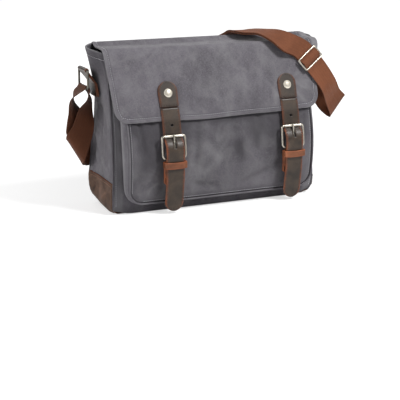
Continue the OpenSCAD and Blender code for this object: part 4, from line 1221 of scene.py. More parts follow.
class BAG_OT_zip(Piece):
    """Inner pocket zip on the back lining: woven tape, two rows of teeth and a slider with its puller"""
    bl_idname = "bag.zip"
    bl_label = "Inner zip"

    def build(self, c):
        brass = finish_of("brass")
        x, z = np.linspace(-100, 100, 60), np.linspace(239.05, 254.95, 22)[:, None]
        cl = Cloth(z[:, 0], x, grid(x[None, :], face_y(z) - 3.62 - 0.8, z), -1)
        cl.push(0.12 * np.sin(z * 2 * np.pi / 2.0))
        # painted shade along the teeth
        cl.mark("shade", 0.6 * step(3.2, 2.0, np.abs(z - ZIP_Z)))
        tape = sew("tape", cl, 0.62, finish_of("tape"), bulge=0.3)
        rows = [[(v, face_y(ZIP_Z + dz) - 4.9, ZIP_Z + dz) for v in (-94 + shift, 94)]
                for dz, shift in ((-1.05, 0.0), (1.05, 0.8))]
        teeth = grow("teeth", teeth_tree(), rows, brass, Pitch=1.6 * MM, Tooth=(0.9 * MM, 1.3 * MM, 2.7 * MM))
        sewn = [grid(np.linspace(-98, 98, 50), face_y(height) - 4.6, height) for height in (241.0, 253.0)]
        add("zip_tape", "bag", ["inner_zip"], tape, slot="lining")
        add("zip_teeth", "bag", [], teeth, self.stop(-1, brass), self.stop(1, brass), slot="hardware")
        add("zip_stitches", "bag", [], stitches(sewn), slot="lining")
        pull = self.slider(face_y(ZIP_Z) - 6.4, brass)
        add("zip_pull", "zip_slider", ["zip_slider"], *pull, slot="hardware")

    def stop(self, sign, brass):
        """The small metal stop at one end of the teeth."""
        def place(a, b, h):
            return sign * 95.5 + a, face_y(ZIP_Z) - 4.6 - h, ZIP_Z + b * 1.8
        return lathe("stop", [(0, 0), (1.5, 0), (1.6, 0.5), (1.2, 1.0), (0, 1.1)], place, brass, sides=16)

    def slider(self, y, brass):
        """The slider's body, the bridge on it, and the eye and the leaf of its puller; y is its back."""
        half_ring = [(0.55, -4.2), (1.6, -3.9), (2.9, -1.5), (3.6, 1.5), (3.9, 3.4), (3.0, 4.3), (1.2, 4.0),
                     (0, 3.3)]
        ring = half_ring + [(-a, b) for a, b in reversed(half_ring[:-1])]
        n, layers = len(ring), ((0.1, 0.94), (0, 1.0), (-1.1, 1.0), (-1.6, 0.86), (-1.75, 0.5))
        verts = [(ZIP_PULL_X + b * k, y + dy, ZIP_Z + a * k) for dy, k in layers for a, b in ring]
        faces = [(i + j, i + (j + 1) % n, i + n + (j + 1) % n, i + n + j)
                 for i in range(0, 4 * n, n) for j in range(n)]
        faces += [tuple(range(n))[::-1], tuple(range(4 * n, 5 * n))]
        body = link("slider", mesh_of("slider", verts, faces), brass)
        face_outwards(body.data)
        hoop = [(ZIP_PULL_X + dx, y - dy, ZIP_Z)
                for dx, dy in ((-3.2, 1.4), (-2, 3.0), (0, 3.5), (2, 3.0), (3.2, 1.4))]
        bridge = tube("bridge", smooth_line(hoop, 5), 0.75, brass, sides=10)
        a = np.linspace(0, 2 * np.pi, 25)[:-1]
        loop = grid(ZIP_PULL_X + 2.4 * np.cos(a), y - 2.6, 244.5 + 3.2 * np.sin(a))
        eye = tube("eye", loop, 0.62, brass, closed=True)
        z = np.linspace(228.2, 242.4, 26)
        tip = np.sqrt(np.clip(1 - np.clip((230.6 - z) / 2.4, 0, 1) ** 2, 0.02, 1))
        half = 2.6 * tip * np.interp(z, [228, 236, 242.4], [1.0, 0.9, 0.62])
        _, pull = ribbon("pull", grid(ZIP_PULL_X, y - 3.3, z), (1.0, 0, 0), half, (0, -1.0, 0), 1.0, brass,
                         crown=0.15, bevel=0.25)
        return body, bridge, eye, pull


# ---- front pocket ----
POCKET_HEM = 12.2    # from the pocket's mouth down to the hem's row of stitches
POCKET_DENTS = (    # depth, then a line from (x, z) to (x, z) and its width
    (2.6, (-150, 178, -138, 92, 5)), (1.8, (-124, 170, -120, 104, 5)), (2.0, (-38, 168, -52, 60, 7)),
    (1.6, (20, 160, 38, 70, 8)), (1.8, (74, 168, 60, 84, 7)), (1.4, (96, 60, 30, 34, 6)),
    (1.6, (-60, 46, 10, 30, 6)), (1.6, (160, 160, 154, 80, 6)))


def sum_of(table, x, z):
    """What a table's lines add up to at each place."""
    return sum(depth * dent(x, z, *line) for depth, line in table)


class BAG_OT_pocket(Piece):
    """Bellows pocket: its bellied front, the pleated strip round it, the piping and the hem"""
    bl_idname = "bag.pocket"
    bl_label = "Front pocket"

    def build(self, c):
        low, inset, t = 20.5, 4.5, ease(120)
        round_foot = low + 23.5 * (1 - np.cos(np.linspace(0, np.pi / 2, 14)))
        z = np.concatenate([round_foot[:-1], steps((44, 189, 68), (189, POCKET_Z1, 17))])
        zz, tt = z[:, None], t[None, :]
        x = POCKET_X + tt * pocket_half(zz, inset)
        cl = Cloth(z, t, grid(x, -pocket_y(zz), zz), -1)
        inside = np.minimum(pocket_half(zz, inset) * (1 - np.abs(tt)), zz - low)
        hem = POCKET_Z1 - zz
        calm = near_strap(x, 21, 22) * step(30, 48, zz) * step(110, 92, zz)
        soft = 0.5 + 0.5 * wobble(x / 52, zz / 44, 0, 21)
        line = creases(x, zz, 24, 2.4, 58, 23) + 0.7 * creases(x, zz, 17, 2.0, -38, 25)
        down = sum_of(POCKET_DENTS, x, zz)
        deep = (soft * 1.9 + down) * (1 - calm) * step(0, 22, inside) + 1.3 * step(11, 0, inside) + 0.2 * line
        cl.push(-1.25 * deep * c.folds)
        cl.push(0.5 * step(12.6, 11.9, hem) * step(-1, 1.5, hem) - 0.45 * bell(hem - POCKET_HEM, 0.6))
        cl.mark("crease", 0.9 * np.clip(line, 0, 1) * step(4, 20, inside)
                + 0.25 * bumps(x / 34, zz / 30, 0, 61))
        self.paint_wear_light_and_shade(cl, x, zz, inside, hem, np.clip(down / 2.4, 0, 1) * (1 - calm))
        add("pocket_front", "bag", ["front_pocket_panel"], panel("panel", cl, bulge=0.3), slot="canvas")
        rows = [cl.path([(192.9, v) for v in np.linspace(-0.985, 0.985, 150)], 0.3)]
        rows += [cl.path([(v, side * 0.985) for v in np.linspace(40, 200, 80)], 0.2) for side in (-1, 1)]
        rows.append(cl.path([(22.6, v) for v in np.linspace(-0.93, 0.93, 130)], 0.2))
        add("pocket_stitches", "bag", [], stitches(rows), slot="canvas")
        self.gusset(c)
        self.cord(c)

    def paint_wear_light_and_shade(self, cl, x, z, inside, hem, dented):
        """Pale streaks and patches on the belly, partly waxed rub and partly painted highlight, and pale wear
        at the mouth and edge; painted shade over the whole pocket, painted shadow beside the straps and under
        the flap, painted shade in its dents, low down and round the edge, and soft darker patches.
        """
        xs = x + 14 * wobble(z / 26, x / 50, 0, 91)
        zs = z + 16 * wobble(x / 42, z / 60, 0, 93)
        broad = wobble(x / 58, z / 70, 0, 71)
        # pale streaks: partly waxed rub, partly painted highlight on the folds
        cl.mark("pale", 0.4 * dent(x, z, -41, 122, 2, 78, 9) + 0.45 * dent(x, z, 60, 150, 86, 92, 8)
                + 0.4 * np.clip(-broad, 0, 1) + 0.3 * bumps(x / 30, z / 20, 0, 27)
                + 0.08 * step(2.5, 0.3, inside) + 0.5 * step(1.4, 0.2, hem))
        # painted shadow left of each strap
        strap_shadow = 0.95 * step(-104, -122, xs) * step(-166, -138, xs) + 0.45 * bell(xs - 106, 8)
        cl.mark("shade", 0.12 + 0.5 * bell(hem - POCKET_HEM, 0.8) + 0.35 * step(30, 18, z) + 0.35 * dented
                + 0.9 * bell(inside - 0.4, 1.2) + 0.4 * step(104, 148, zs) + 0.6 * step(140, 158, zs)
                + 0.85 * np.clip(broad, 0, 1) * step(6, 30, inside) + strap_shadow * step(34, 100, zs)
                + 0.7 * bell(x + 112, 6) * step(28, 44, z)
                + 0.55 * dent(x, z, 26, 116, 40, 70, 10) + 0.4 * dent(x, z, 108, 120, 100, 50, 9))

    def gusset(self, c):
        """The pleated strip from the body's front to the pocket's front."""
        path = pocket_path(0.0, 3.2)
        out, (x, z) = right_normals(path), path.T
        d = np.linspace(0, 1, 15)[:, None]
        near, far = -face_y(z) - 0.3, -pocket_y(z) + 2.9
        fold = np.sin(np.pi * np.clip(d * 1.15, 0, 1)) ** 1.2 * (0.6 + 2.2 * np.abs(out[:, 0]))
        pleat = 2.6 * bell(d - 0.97, 0.06) * 0.5 - fold * np.clip(np.abs(far - near) / 30, 0.2, 1)
        ruck = 0.7 * wobble(x / 17, z / 17, d * 2.2, 31) + 0.35 * wobble(x / 7, z / 7, d * 2, 33)
        move = -(pleat + 0.35 * (0.5 + ruck) * np.sin(np.pi * d) * 1.6) * c.folds
        g = grid(x + out[:, 0] * move, near * (1 - d) + far * d, z + out[:, 1] * move)
        strip = Cloth(d[:, 0], np.arange(len(path)), g).facing(grid(out[:, 0], 0, out[:, 1])[None, :])
        # painted shade where the strip meets the pocket's front and the body, and painted light along its
        # middle
        strip.mark("shade", 0.8 * step(0.93, 0.99, d) + 0.5 * step(0.10, 0.0, d))
        strip.mark("pale", 0.6 * bell(d - 0.42, 0.16))
        strip.mark("crease", 0.5 * np.clip(ruck, 0, 1) * np.sin(np.pi * d))
        add("pocket_gusset", "bag", ["front_pocket_gusset"], panel("gusset", strip, bulge=0.2), slot="canvas")

    def cord(self, c):
        """The piping round the pocket's front."""
        x, z = pocket_path(2.3, 3.0).T
        line = grid(x, -pocket_y(z) + 0.95 + 0.12 * wobble(x / 8, z / 8, 0, 35), z)
        radius = c.piping / MM * (1 + 0.06 * wobble(x / 6, z / 6, 0, 37))
        cord = tube("cord", line, radius, finish_of("canvas"), sides=12, marks={"pale": 0.06})
        add("pocket_cord", "bag", ["pocket_piping"], cord, slot="canvas")


# ---- flap ----
BACK_CUT = ((0.0, 31.0, 279.0), (0.0, 17.5, 287.5))    # the flap bends at the back fold between these
FRONT_CUT = ((0.0, -22.0, 276.5), (0.0, -34.5, 264.0))    # and at the front fold between these
TOP_SEAM_Y = 2.0    # where the flap's two runs meet
FLAP_HEM = 6.6    # from the flap's edge in to its row of stitches
FLAP_RIDGES = (    # as the pocket's dents, but they stand out, and sink in below 0
    (1.6, (-20, 262, 6, 205, 6)), (1.4, (40, 250, 12, 206, 5)), (-1.5, (-150, 258, -168, 200, 7)),
    (1.5, (84, 262, 70, 190, 8)), (1.3, (-60, 196, 20, 178, 6)))


def bends(ob, bodies, bend):
    """Bakes a piece's placement into its mesh."""
    start, end = in_metres(*bend)
    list(bodies)
    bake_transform(ob)
    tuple(start)
    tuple(end)


class BAG_OT_flap(Piece):
    """The flap in two runs, sewn to the back, over the top and down the front, with a stitched hem"""
    bl_idname = "bag.flap"
    bl_label = "Flap"

    def build(self, c):
        line = flap_profile(2.0)
        arc = along(line)
        total = arc[-1]
        hem_rows = total - np.array([10.5, 9, 8, 7, 6, 5, 4, 3, 2, 1, 0.4, 0])
        at = np.concatenate([np.linspace(0, total - 12, int((total - 12) / 2.0)), hem_rows])
        y, z = (np.interp(at, arc, line[:, k])[:, None] for k in (0, 1))
        end = (total - at)[:, None]
        half = self.half_width(y, z, end)
        off = np.array([0, 0.5, 1.2, 2.2, 3.4, 4.6, 5.6, 6.4, 7.4, 9, 11.5, 15])
        mid = np.linspace(-1, 1, 96)[1:-1]
        t = np.concatenate([-1 + off / 190, mid * 0.9, (1 - off / 190)[::-1]])
        x = np.concatenate([-half + off, mid * (half - 18), half - off[::-1]], 1)
        x = x + 9.0 * step(110, 190, x) * step(228, 266, z) * step(26.4, 16, y)
        wave = 2.4 * bell(x + 35, 62) - 2.6 * step(95, 165, x) + 0.7 * wobble(x / 40, 0, 0, 75)
        cl = Cloth(at, t, grid(x, y, z - settle(y, z) - wave * step(64, 4, end))).facing((0, 0, 1.0))
        self.fold(cl, c, x, y, z, end, half)
        seam = int(np.argmax(y[:, 0] < TOP_SEAM_Y))
        self.run(cl, slice(0, seam + 1), (False, True), "flap_back_run", ["flap_back"],
                 ("flap_top", "bag"), BACK_CUT[::-1])
        self.run(cl, slice(seam, None), (True, False), "flap_front_run", ["flap_top", "flap_front"],
                 ("flap_top", "flap_front"), FRONT_CUT)
        self.sew_hem(cl, x, half[:, 0], total, at[seam])

    def half_width(self, y, z, end):
        """Half the flap's width: narrower where it's sewn to the back, round at its free corners."""
        r, narrow = FLAP_R, FLAP_END_W / 2
        sewn = np.interp(z, [229, 284.7], [0.445 * FLAP_W, FLAP_W / 2 - 0.3])
        taper = FLAP_W / 2 - (FLAP_W - FLAP_END_W) / 2 * np.clip((121 - end) / 97, 0, 1)
        free = np.where(end < r, narrow - r + rounded(end, r), taper)
        return np.where((y > BACK_FOLD[0] - 1) & (z < 286), sewn, free)

    def inside(self, x, end, half):
        """Distance in from the flap's outline, with its two round free corners."""
        a, r = np.abs(x), FLAP_R
        corner = (a > FLAP_END_W / 2 - r) & (end < r)
        return np.where(corner, r - np.hypot(a - (FLAP_END_W / 2 - r), r - end), np.minimum(half - a, end))

    def fold(self, cl, c, x, y, z, end, half):
        """Sag and folds, flat beside the straps and the slider, with a stitched and worn hem, painted shade
        in the hem's stitch groove and soft darker patches where it hangs.
        """
        at, total = cl.s[:, None], cl.s[-1]
        inside = self.inside(x, end, half)
        top = step(24, 8, y) * step(-29, -13, y) * (z > 268)
        hang = step(118, 104, end)
        calm = near_strap(x, 20, 20) * (y < -34)
        slider = step(52, 34, np.hypot(x - 176, z - 236)) * (y < -30)
        soft = wobble(x / 70, at / 46, 0, 41) * 0.8 + wobble(x / 27, at / 25, 0, 43) * 0.35
        line = creases(x, at, 28, 2.3, 28, 45) + 0.6 * creases(x, at, 18, 2.4, -52, 47)
        cl.push(-c.sag / MM * top * (1 - 0.45 * (x / 193) ** 2))
        free = (1 - np.maximum(calm, slider)) * step(0, 26, end)
        big = soft + 0.5 * wobble(x / 44, at / 90, 0, 53)
        room = np.where(big < 0, np.interp(z, [150, 205, 225], [0.5, 0.8, 2.2]), 2.6)
        ridges = sum_of(FLAP_RIDGES, x, z)
        ridges = ridges * np.where(ridges < 0, room / 2.6, 1)
        cl.push((big * room + 0.45 * line + ridges) * hang * free * c.folds)
        cl.push(top * (soft * 2.2 + line * 0.6) * c.folds * step(0, 14, inside))
        back = (y > 24) & (z < 283)
        ruffle = np.sin(x * 0.62 + at * 0.62 + 2 * wobble(x / 22, at / 22, 0, 49)) * bell(inside - 5, 4.5)
        hem = (0.30 * step(0, 1.5, inside) * step(6.3, 4.6, inside) - 0.55 * bell(inside - FLAP_HEM, 0.9)
               + 0.34 * 0.7 * ruffle)
        cl.push(np.where(back, 0, hem))
        cl.push(np.where(back, -0.4 * bell(at - 5.5, 0.8), 0))
        cl.mark("crease", (0.95 * line * (0.5 + 0.5 * hang) + 0.3 * hang * bumps(x / 36, z / 30, 0, 63)
                           + 0.4 * top * np.clip(soft, 0, 1)) * step(3, 16, inside))
        rubbed = 0.12 * bell(at - (total - 117), 9.0) * (0.5 + wobble(x / 25, 0, 0, 51))
        rubbed = rubbed + 0.4 * step(1.3, 0.1, inside) + 0.1 * bell(inside - 3.4, 1.8)
        cl.mark("pale", np.where(back, 0.1, rubbed))
        # painted shade in the hem's stitch groove, and soft darker patches where it hangs
        cl.mark("shade", 0.8 * bell(inside - FLAP_HEM, 1.0) + 0.3 * hang * bumps(x / 75, z / 60, 0, 73))

    def run(self, cl, part, flush, name, nodes, bodies, bend):
        """One of the flap's two runs as its own piece."""
        leaf = Cloth(cl.s[part], cl.t, cl.p[part], cl.out)
        leaf.n = cl.n[part]
        leaf.marks = {key: value[part] for key, value in cl.marks.items()}
        ob = panel(name, leaf, bulge=0.32, flush=flush, start=leaf.s[0])
        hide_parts(*nodes)
        bends(ob, bodies, bend)

    def sew_hem(self, cl, x, half, total, seam):
        """Stitches inside the hem and on the edge sewn to the back; they part where the runs meet."""
        at, r, lift = cl.s, FLAP_R, 0.2
        narrow = FLAP_END_W / 2 - r

        def place(i, wanted):
            return at[i], np.interp(wanted, x[i], cl.t)

        def across(s, reach, n):
            wanted = np.linspace(-reach, reach, n)
            return cl.path(np.stack([np.full(n, s), np.interp(wanted, x[nearest(at, s)], cl.t)], 1), lift)

        back, front = [], []
        for side in (-1, 1):
            points = [place(i, side * (half[i] - FLAP_HEM)) for i in range(len(at)) if 8 < at[i] < total - r]
            back.append(cl.path([q for q in points if q[0] <= seam], lift))
            ahead = [q for q in points if q[0] >= seam]
            for k in np.linspace(0, np.pi / 2, 14):
                i = nearest(at, total - (r - (r - FLAP_HEM) * math.sin(k)))
                ahead.append(place(i, side * (narrow + (r - FLAP_HEM) * math.cos(k))))
            front.append(cl.path(ahead, lift))
        front.append(across(total - FLAP_HEM, narrow, 160))
        back += [across(low, 166, 120) for low in (4.0, 9.0)]
        for name, rows, bodies, bend in (
                ("flap_back_stitches", back, ("flap_top", "bag"), BACK_CUT[::-1]),
                ("flap_front_stitches", front, ("flap_top", "flap_front"), FRONT_CUT)):
            ob = stitches(rows)
            ob.name = ob.data.name = name
            bends(ob, bodies, bend)


# ---- leather straps and their metal ----
STRAP_T = 2.6
STRAP_BACK = [    # the straps' inner face as (y, z), from the flap down
    (-63.78, 174.8), (-70.49, 155.0), (-74.45, 136.5), (-74.45, 129.8), (-85.4, 119.6), (-88.6, 112.0),
    (-89.14, 103.0), (-89.14, 92.0), (-87.22, 86.0), (-87.22, 59.0), (-80.7, 19.0), (-79.7, 5.0)]
EDGE_SEAM = {"Pitch": 4.2, "Length": 2.4, "Thread": 0.7}   # the straps' and tabs' stitches, in millimetres


def side_rows(points, pitch, sigma):
    """An even, softly rounded line through flat points, and its normals."""
    line = even(soften(even(points, 0.5), sigma, 4, 0.5), pitch)
    return line, right_normals(line)


def mirrored(*columns):
    """The columns on both sides of a middle one."""
    return np.array([*(-v for v in columns[::-1]), 0, *columns])


def edge_line(cl, inset, half, first, last, lift, n=90):
    """Rows for stitches along both edges of a strap."""
    return [cl.path([(s, side * (1 - inset / half)) for s in np.linspace(first, last, n)], lift)
            for side in (-1, 1)]


def cross_lines(cl, ends, reach, n, lift):
    """Rows for stitches across a strap at the places in ends."""
    return [cl.path([(s, u) for u in np.linspace(-reach, reach, n)], lift) for s in ends]


def end_line(cl, start, way, radius, inset, n):
    """A row for stitches round a strap's round end, which begins at start."""
    a, r = np.linspace(0, np.pi, n), radius - inset
    across = r * np.cos(a) / np.sqrt(radius ** 2 - (r * np.sin(a)) ** 2)
    return cl.path(np.stack([start + way * r * np.sin(a), across], 1), 0.1)


class BAG_OT_straps(Piece):
    """Closing straps: oiled leather with raw edges, edge stitching, the prong's slot and a spare hole"""
    bl_idname = "bag.straps"
    bl_label = "Closing straps"

    def build(self, c):
        line, out = side_rows(STRAP_BACK, 0.8, 2.4)
        s, outer = along(line), line + out * STRAP_T
        end = s[-1]
        # the slot's four cuts, then the three of the spare hole
        cuts = np.interp([-125.6, -124.8, -113.2, -112.4, -149.8, -148.0, -146.2], -line[:, 1], s)
        tip = end - 17 * (1 - np.cos(np.linspace(np.pi / 2, 0, 15)))
        rows = np.unique(np.round(np.concatenate([np.arange(0, end - 17, 2.2), tip]), 3))
        rows = np.sort(np.concatenate([rows[np.abs(rows[:, None] - cuts).min(1) > 0.9], cuts]))
        z, y_out, z_out, y_up, z_up = (np.interp(rows, s, v) for v in (line[:, 1], *outer.T, *out.T))
        half = rounded(end - rows, 16, 0.3)
        cols = mirrored(0.14, 0.3, 0.5, 0.72, 0.86, 0.94, 0.985, 1)
        mid = len(cols) // 2
        holes = [(nearest(rows, cuts[a]), nearest(rows, cuts[b]), mid - 1, mid + 1)
                 for a, b in ((0, 3), (4, 6))]
        # painted shadow under the roller and above the keeper, painted shade low down and at the strap's top
        # end under the tab, and darker edges above the roller
        bend_shadow = 0.9 * bell(z - 127, 4) + 0.7 * bell(z - 92, 3) + 0.25 * step(40, 20, z)
        shade = (bend_shadow[:, None] * (1 - np.abs(cols) ** 4) + step(4.0, 1.0, rows)[:, None]
                 + 0.4 * step(122, 134, z)[:, None] * step(0.94, 1.0, np.abs(cols)))
        for side, x in STRAP_X.items():
            worn = 1 + 0.006 * wobble(rows / 16, x, 0, 3)
            cl, strap = ribbon("strap", grid(x, y_out, z_out), (1.0, 0, 0), half * worn,
                               unit(grid(0, y_up, z_up)), STRAP_T, finish_of("leather"), crown=0.25,
                               bevel=0.45, bulge=0.22, columns=cols, holes=holes,
                               rub=np.interp(z, [118, 134], [1.0, 0.55]), marks={"shade": shade})
            lines = edge_line(cl, 2.6, 16, 2.0, end - 17, 0.1) + [end_line(cl, end - 16, 1, 16, 2.6, 25)]
            add_sewn("strap", side, "strap_" + side, "closing_strap", strap, lines, "shaded dark thread",
                     **EDGE_SEAM)


RIVET_PROFILE = [    # radius, and height above the flap's face
    (0, -3.45), (4.2, -3.4), (5.0, -3.1), (5.0, -2.5), (2.0, -2.42), (2.0, 2.75), (7.0, 2.75), (7.4, 3.0),
    (7.38, 3.35), (7.0, 3.75), (6.5, 3.95), (6.05, 3.86), (5.8, 3.62), (5.5, 3.62), (5.25, 3.92), (4.6, 4.3),
    (3.4, 4.62), (1.8, 4.8), (0, 4.84)]


class BAG_OT_tabs(Piece):
    """Round-topped leather tabs on the flap, with their cross stitch and a turned rivet each"""
    bl_idname = "bag.tabs"
    bl_label = "Strap tabs and rivets"

    def build(self, c):
        up, down = np.array([0, *FLAP_OUT]), np.array([0, *FLAP_DIR])
        round_top = 17 - 17 * np.cos(np.linspace(0, np.pi / 2, 15))
        d = np.concatenate([round_top, np.linspace(18.5, (TAB_TOP_Z - 176.6) / -FLAP_DIR[1], 14)])
        half = np.where(d < 17, rounded(d, 17, 0.3), np.interp(d, [17, 43], [17.0, 16.2]))
        across = np.abs(np.sin(np.linspace(-np.pi / 2, np.pi / 2, 17)))
        # painted shade at the tab's lower end where the strap meets it, and darker edges
        shade = (0.5 * bell(d - 40, 2.0) + step(40.8, 42.4, d))[:, None] + 0.4 * step(0.9, 1.0, across)
        for side, x in STRAP_X.items():
            top = np.array([x, *flap_face(TAB_TOP_Z)])
            centre = top + down * d[:, None] + up * (0.1 + STRAP_T)
            cl, tab = ribbon("tab", centre, (1.0, 0, 0), half, up, 2.55, finish_of("leather"), cols=17,
                             crown=0.2, bevel=0.45, bulge=0.22, rub=0.6, marks={"shade": shade})
            lines = edge_line(cl, 2.7, 17, 17, 42, 0.1, 30) + [end_line(cl, 17, -1, 17, 2.7, 27)]
            lines += cross_lines(cl, [40.0], 0.8, 20, 0.15)
            add_sewn("tab", side, "flap_front", "strap_tab", tab, lines, "shaded dark thread", **EDGE_SEAM)
            mid = np.array([x, *flap_face(RIVET_Z)])
            rivet = lathe("rivet", RIVET_PROFILE, lambda a, b, h, m=mid: m + (a, 0, 0) - down * b + up * h,
                          finish_of("rivet"), sides=48)
            add("rivet_metal_" + side, "flap_front", ["rivet_" + side], rivet, slot="hardware")


class BAG_OT_chapes(Piece):
    """Folded leather that holds each buckle, its keeper, and the patch that takes the hidden snap"""
    bl_idname = "bag.chapes"
    bl_label = "Buckle chapes, keepers and patches"

    def build(self, c):
        for side, x in STRAP_X.items():
            body = "strap_" + side
            add("chape_leather_" + side, body, ["buckle_chape_" + side], self.chape(x), slot="leather")
            add("keeper_leather_" + side, body, ["keeper_" + side], self.keeper(x), slot="leather")
            patch, lines = self.patch(x)
            add_sewn("patch", side, "bag", "snap_patch", patch, lines, "brown thread",
                     Pitch=3.2, Length=2.3, Thread=0.32)

    def chape(self, x):
        """A leaf folded round the buckle's bar, slotted for the prong and waisted beside the frame."""
        slot_at, slot_half, bar_z = 0.3, 2.8, 99.0
        arc = [(HEEL_Y + 4.0 * math.cos(a), HEEL_Z + 4.0 * math.sin(a))
               for a in np.linspace(-0.25, math.pi + 0.25, 15)]
        line = [(-82.77, 50.0), (-82.77, 84.0), *arc, (-86.87, 84.0), (-86.87, 61.0)]
        q, out = side_rows(line, 1.0, 0.5)
        z = q[:, 1]
        low = np.where(np.arange(len(q)) < np.argmax(z), 50.0, 61.0)
        half = 17.5 - 6.0 + rounded(z - low, 6.0, 0.3)
        waist = np.maximum(24.5 - np.sqrt(np.clip(13 ** 2 - (z - bar_z) ** 2, 0, None)), 11.6)
        half = np.where(np.abs(z - bar_z) < 13, np.minimum(half, waist), half)
        cols = mirrored(slot_at, 0.45, 0.66, 0.84, 0.94, 0.985, 1)
        edge = np.abs(cols)
        across = np.where(edge == slot_at, np.sign(cols) * slot_half, cols * half[:, None])
        up = grid(0, *out.T)[:, None]
        bevel = 0.35 * np.clip((edge - 0.86) / 0.14, 0, 1) ** 2
        p = grid(x + across, q[:, :1], z[:, None]) - up * bevel[:, None]
        cl = Cloth(np.arange(len(q)), cols, p).facing(up)
        # painted shade on the chape's upper part, round the buckle's bar
        cl.mark("edge", step(0.8, 1.0, edge)).mark("shade", 0.5 * step(90, 96, z)[:, None])
        high, mid = np.where(z > 91.4)[0], len(cols) // 2
        return sew("chape", cl, 1.95, finish_of("leather"), bulge=0.22,
                   holes=[(int(high[0]), int(high[-1]), mid - 1, mid + 1)])

    def keeper(self, x):
        """A band of leather round the strap and the chape."""
        half, front, back, r, thick, mid_z, half_z = 17.8, -92.04, -82.5, 2.4, 2.0, 85.25, 5.25
        wide, y0, y1 = half + thick - r, front - thick + r, back + 1.3 - r
        corners = []
        for cx, cy, turn in ((wide, y0, -90), (wide, y1, 0), (-wide, y1, 90), (-wide, y0, 180)):
            corners += [(cx + r * math.cos(math.radians(turn + k)), cy + r * math.sin(math.radians(turn + k)))
                        for k in (0, 22, 45, 68, 90)]
        ring, corners = [], np.array(corners)
        for a, b in zip(corners, np.roll(corners, -1, 0)):
            k = max(1, int(np.linalg.norm(b - a) / 2.0))
            ring += [a + (b - a) * j / k for j in range(k)]
        across, deep = np.array(ring).T
        z = np.array([80.0, 80.3, 81.2, 83.0, mid_z, 87.5, 89.3, 90.2, 90.5])
        dip = -0.35 * ((np.abs(z - mid_z) / half_z) ** 6)[:, None]
        g = grid(x + across * (1 + dip / 20), deep + dip * np.sign(deep + 87.3) * 0.3, z[:, None])
        g[..., 2] -= 1.3 * (1 - ((g[..., 0] - x) / 19.8) ** 2) * (g[..., 1] < -88)
        cl = Cloth(z, np.arange(len(ring)), g, wrap=True).facing(g - g.mean(1, keepdims=True))
        cl.mark("edge", step(3.6, 5.2, np.abs(z - mid_z))[:, None])
        return sew("keeper", cl, np.where(deep > -84, 1.25, thick), finish_of("keeper"), bulge=0.2)

    def patch(self, x):
        """The patch on the pocket's front, thick enough to meet its bellied cloth, and its stitches' rows."""
        face = 79.07
        turn = np.linspace(0, np.pi / 2, 8)
        foot, top = 50 + 5 * (1 - np.cos(turn)), 79 + 5 * np.sin(turn)
        z = np.concatenate([foot[:-1], np.linspace(55, 79, 14)[:-1], top])
        half = 11 + rounded(np.minimum(z - 50, 84 - z), 5, 0.3)
        cl, patch = ribbon("patch", grid(x, -face, z), (1.0, 0, 0), half, (0, -1.0, 0),
                           (face - pocket_y(z) - 0.25)[:, None], finish_of("leather"), cols=13, bevel=0.35,
                           bulge=0.2)
        lines = edge_line(cl, 2.2, 16, 4, 30, 0.1, 30) + cross_lines(cl, (2.2, 31.8), 0.84, 24, 0.1)
        return patch, lines


def gusset_x(z):
    """How far out the gussets' middle stands at a height."""
    return float(half_w(z) + bow(z, 0.25))


class BAG_OT_ring_tabs(Piece):
    """Folded leather tabs that hold the side rings"""
    bl_idname = "bag.ring_tabs"
    bl_label = "Ring tabs"

    def build(self, c):
        low, bend = 192.0, 214.5
        arc = [(RING_X + 4.02 * math.cos(a), RING_Z + 4.02 * math.sin(a))
               for a in np.linspace(-0.15, math.pi + 0.1, 15)]
        line = [(gusset_x(low) + 4.6, low), (gusset_x(bend) + 4.6, bend), (RING_X + 0.4, 232.0), *arc,
                (RING_X - 3.9, 234.5), (gusset_x(bend) + 0.3, bend), (gusset_x(low) + 0.3, low)]
        q, out = side_rows(line, 1.1, 0.7)
        half = 13 + rounded(q[:, 1] - low, 6, 0.3)
        for side, sign in (("left", -1), ("right", 1)):
            cl, tab = ribbon("tab", grid(sign * q[:, 0], RING_Y, q[:, 1]), (0, 1.0, 0), half,
                             grid(sign * out[:, 0], 0, out[:, 1]), 1.95, finish_of("dark leather"), cols=17,
                             bevel=0.35, bulge=0.25)
            first, outer = cl.s[nearest(q[:12, 1], 194.6)], len(q) // 3
            last = float(np.interp(216.0, q[:outer, 1], cl.s[:outer]))
            lines = edge_line(cl, 2.6, 19, first, last, 0.12, 30)
            lines += cross_lines(cl, (first, last), 0.86, 30, 0.12)
            add_sewn("ring_tab", side, "bag", "ring_tab", tab, lines, "brown thread",
                     Pitch=3.3, Length=2.4, Thread=0.36)


BAND_HALF, BAND_Z = 136.5, 196.0    # half the back band's length, and the height of its middle


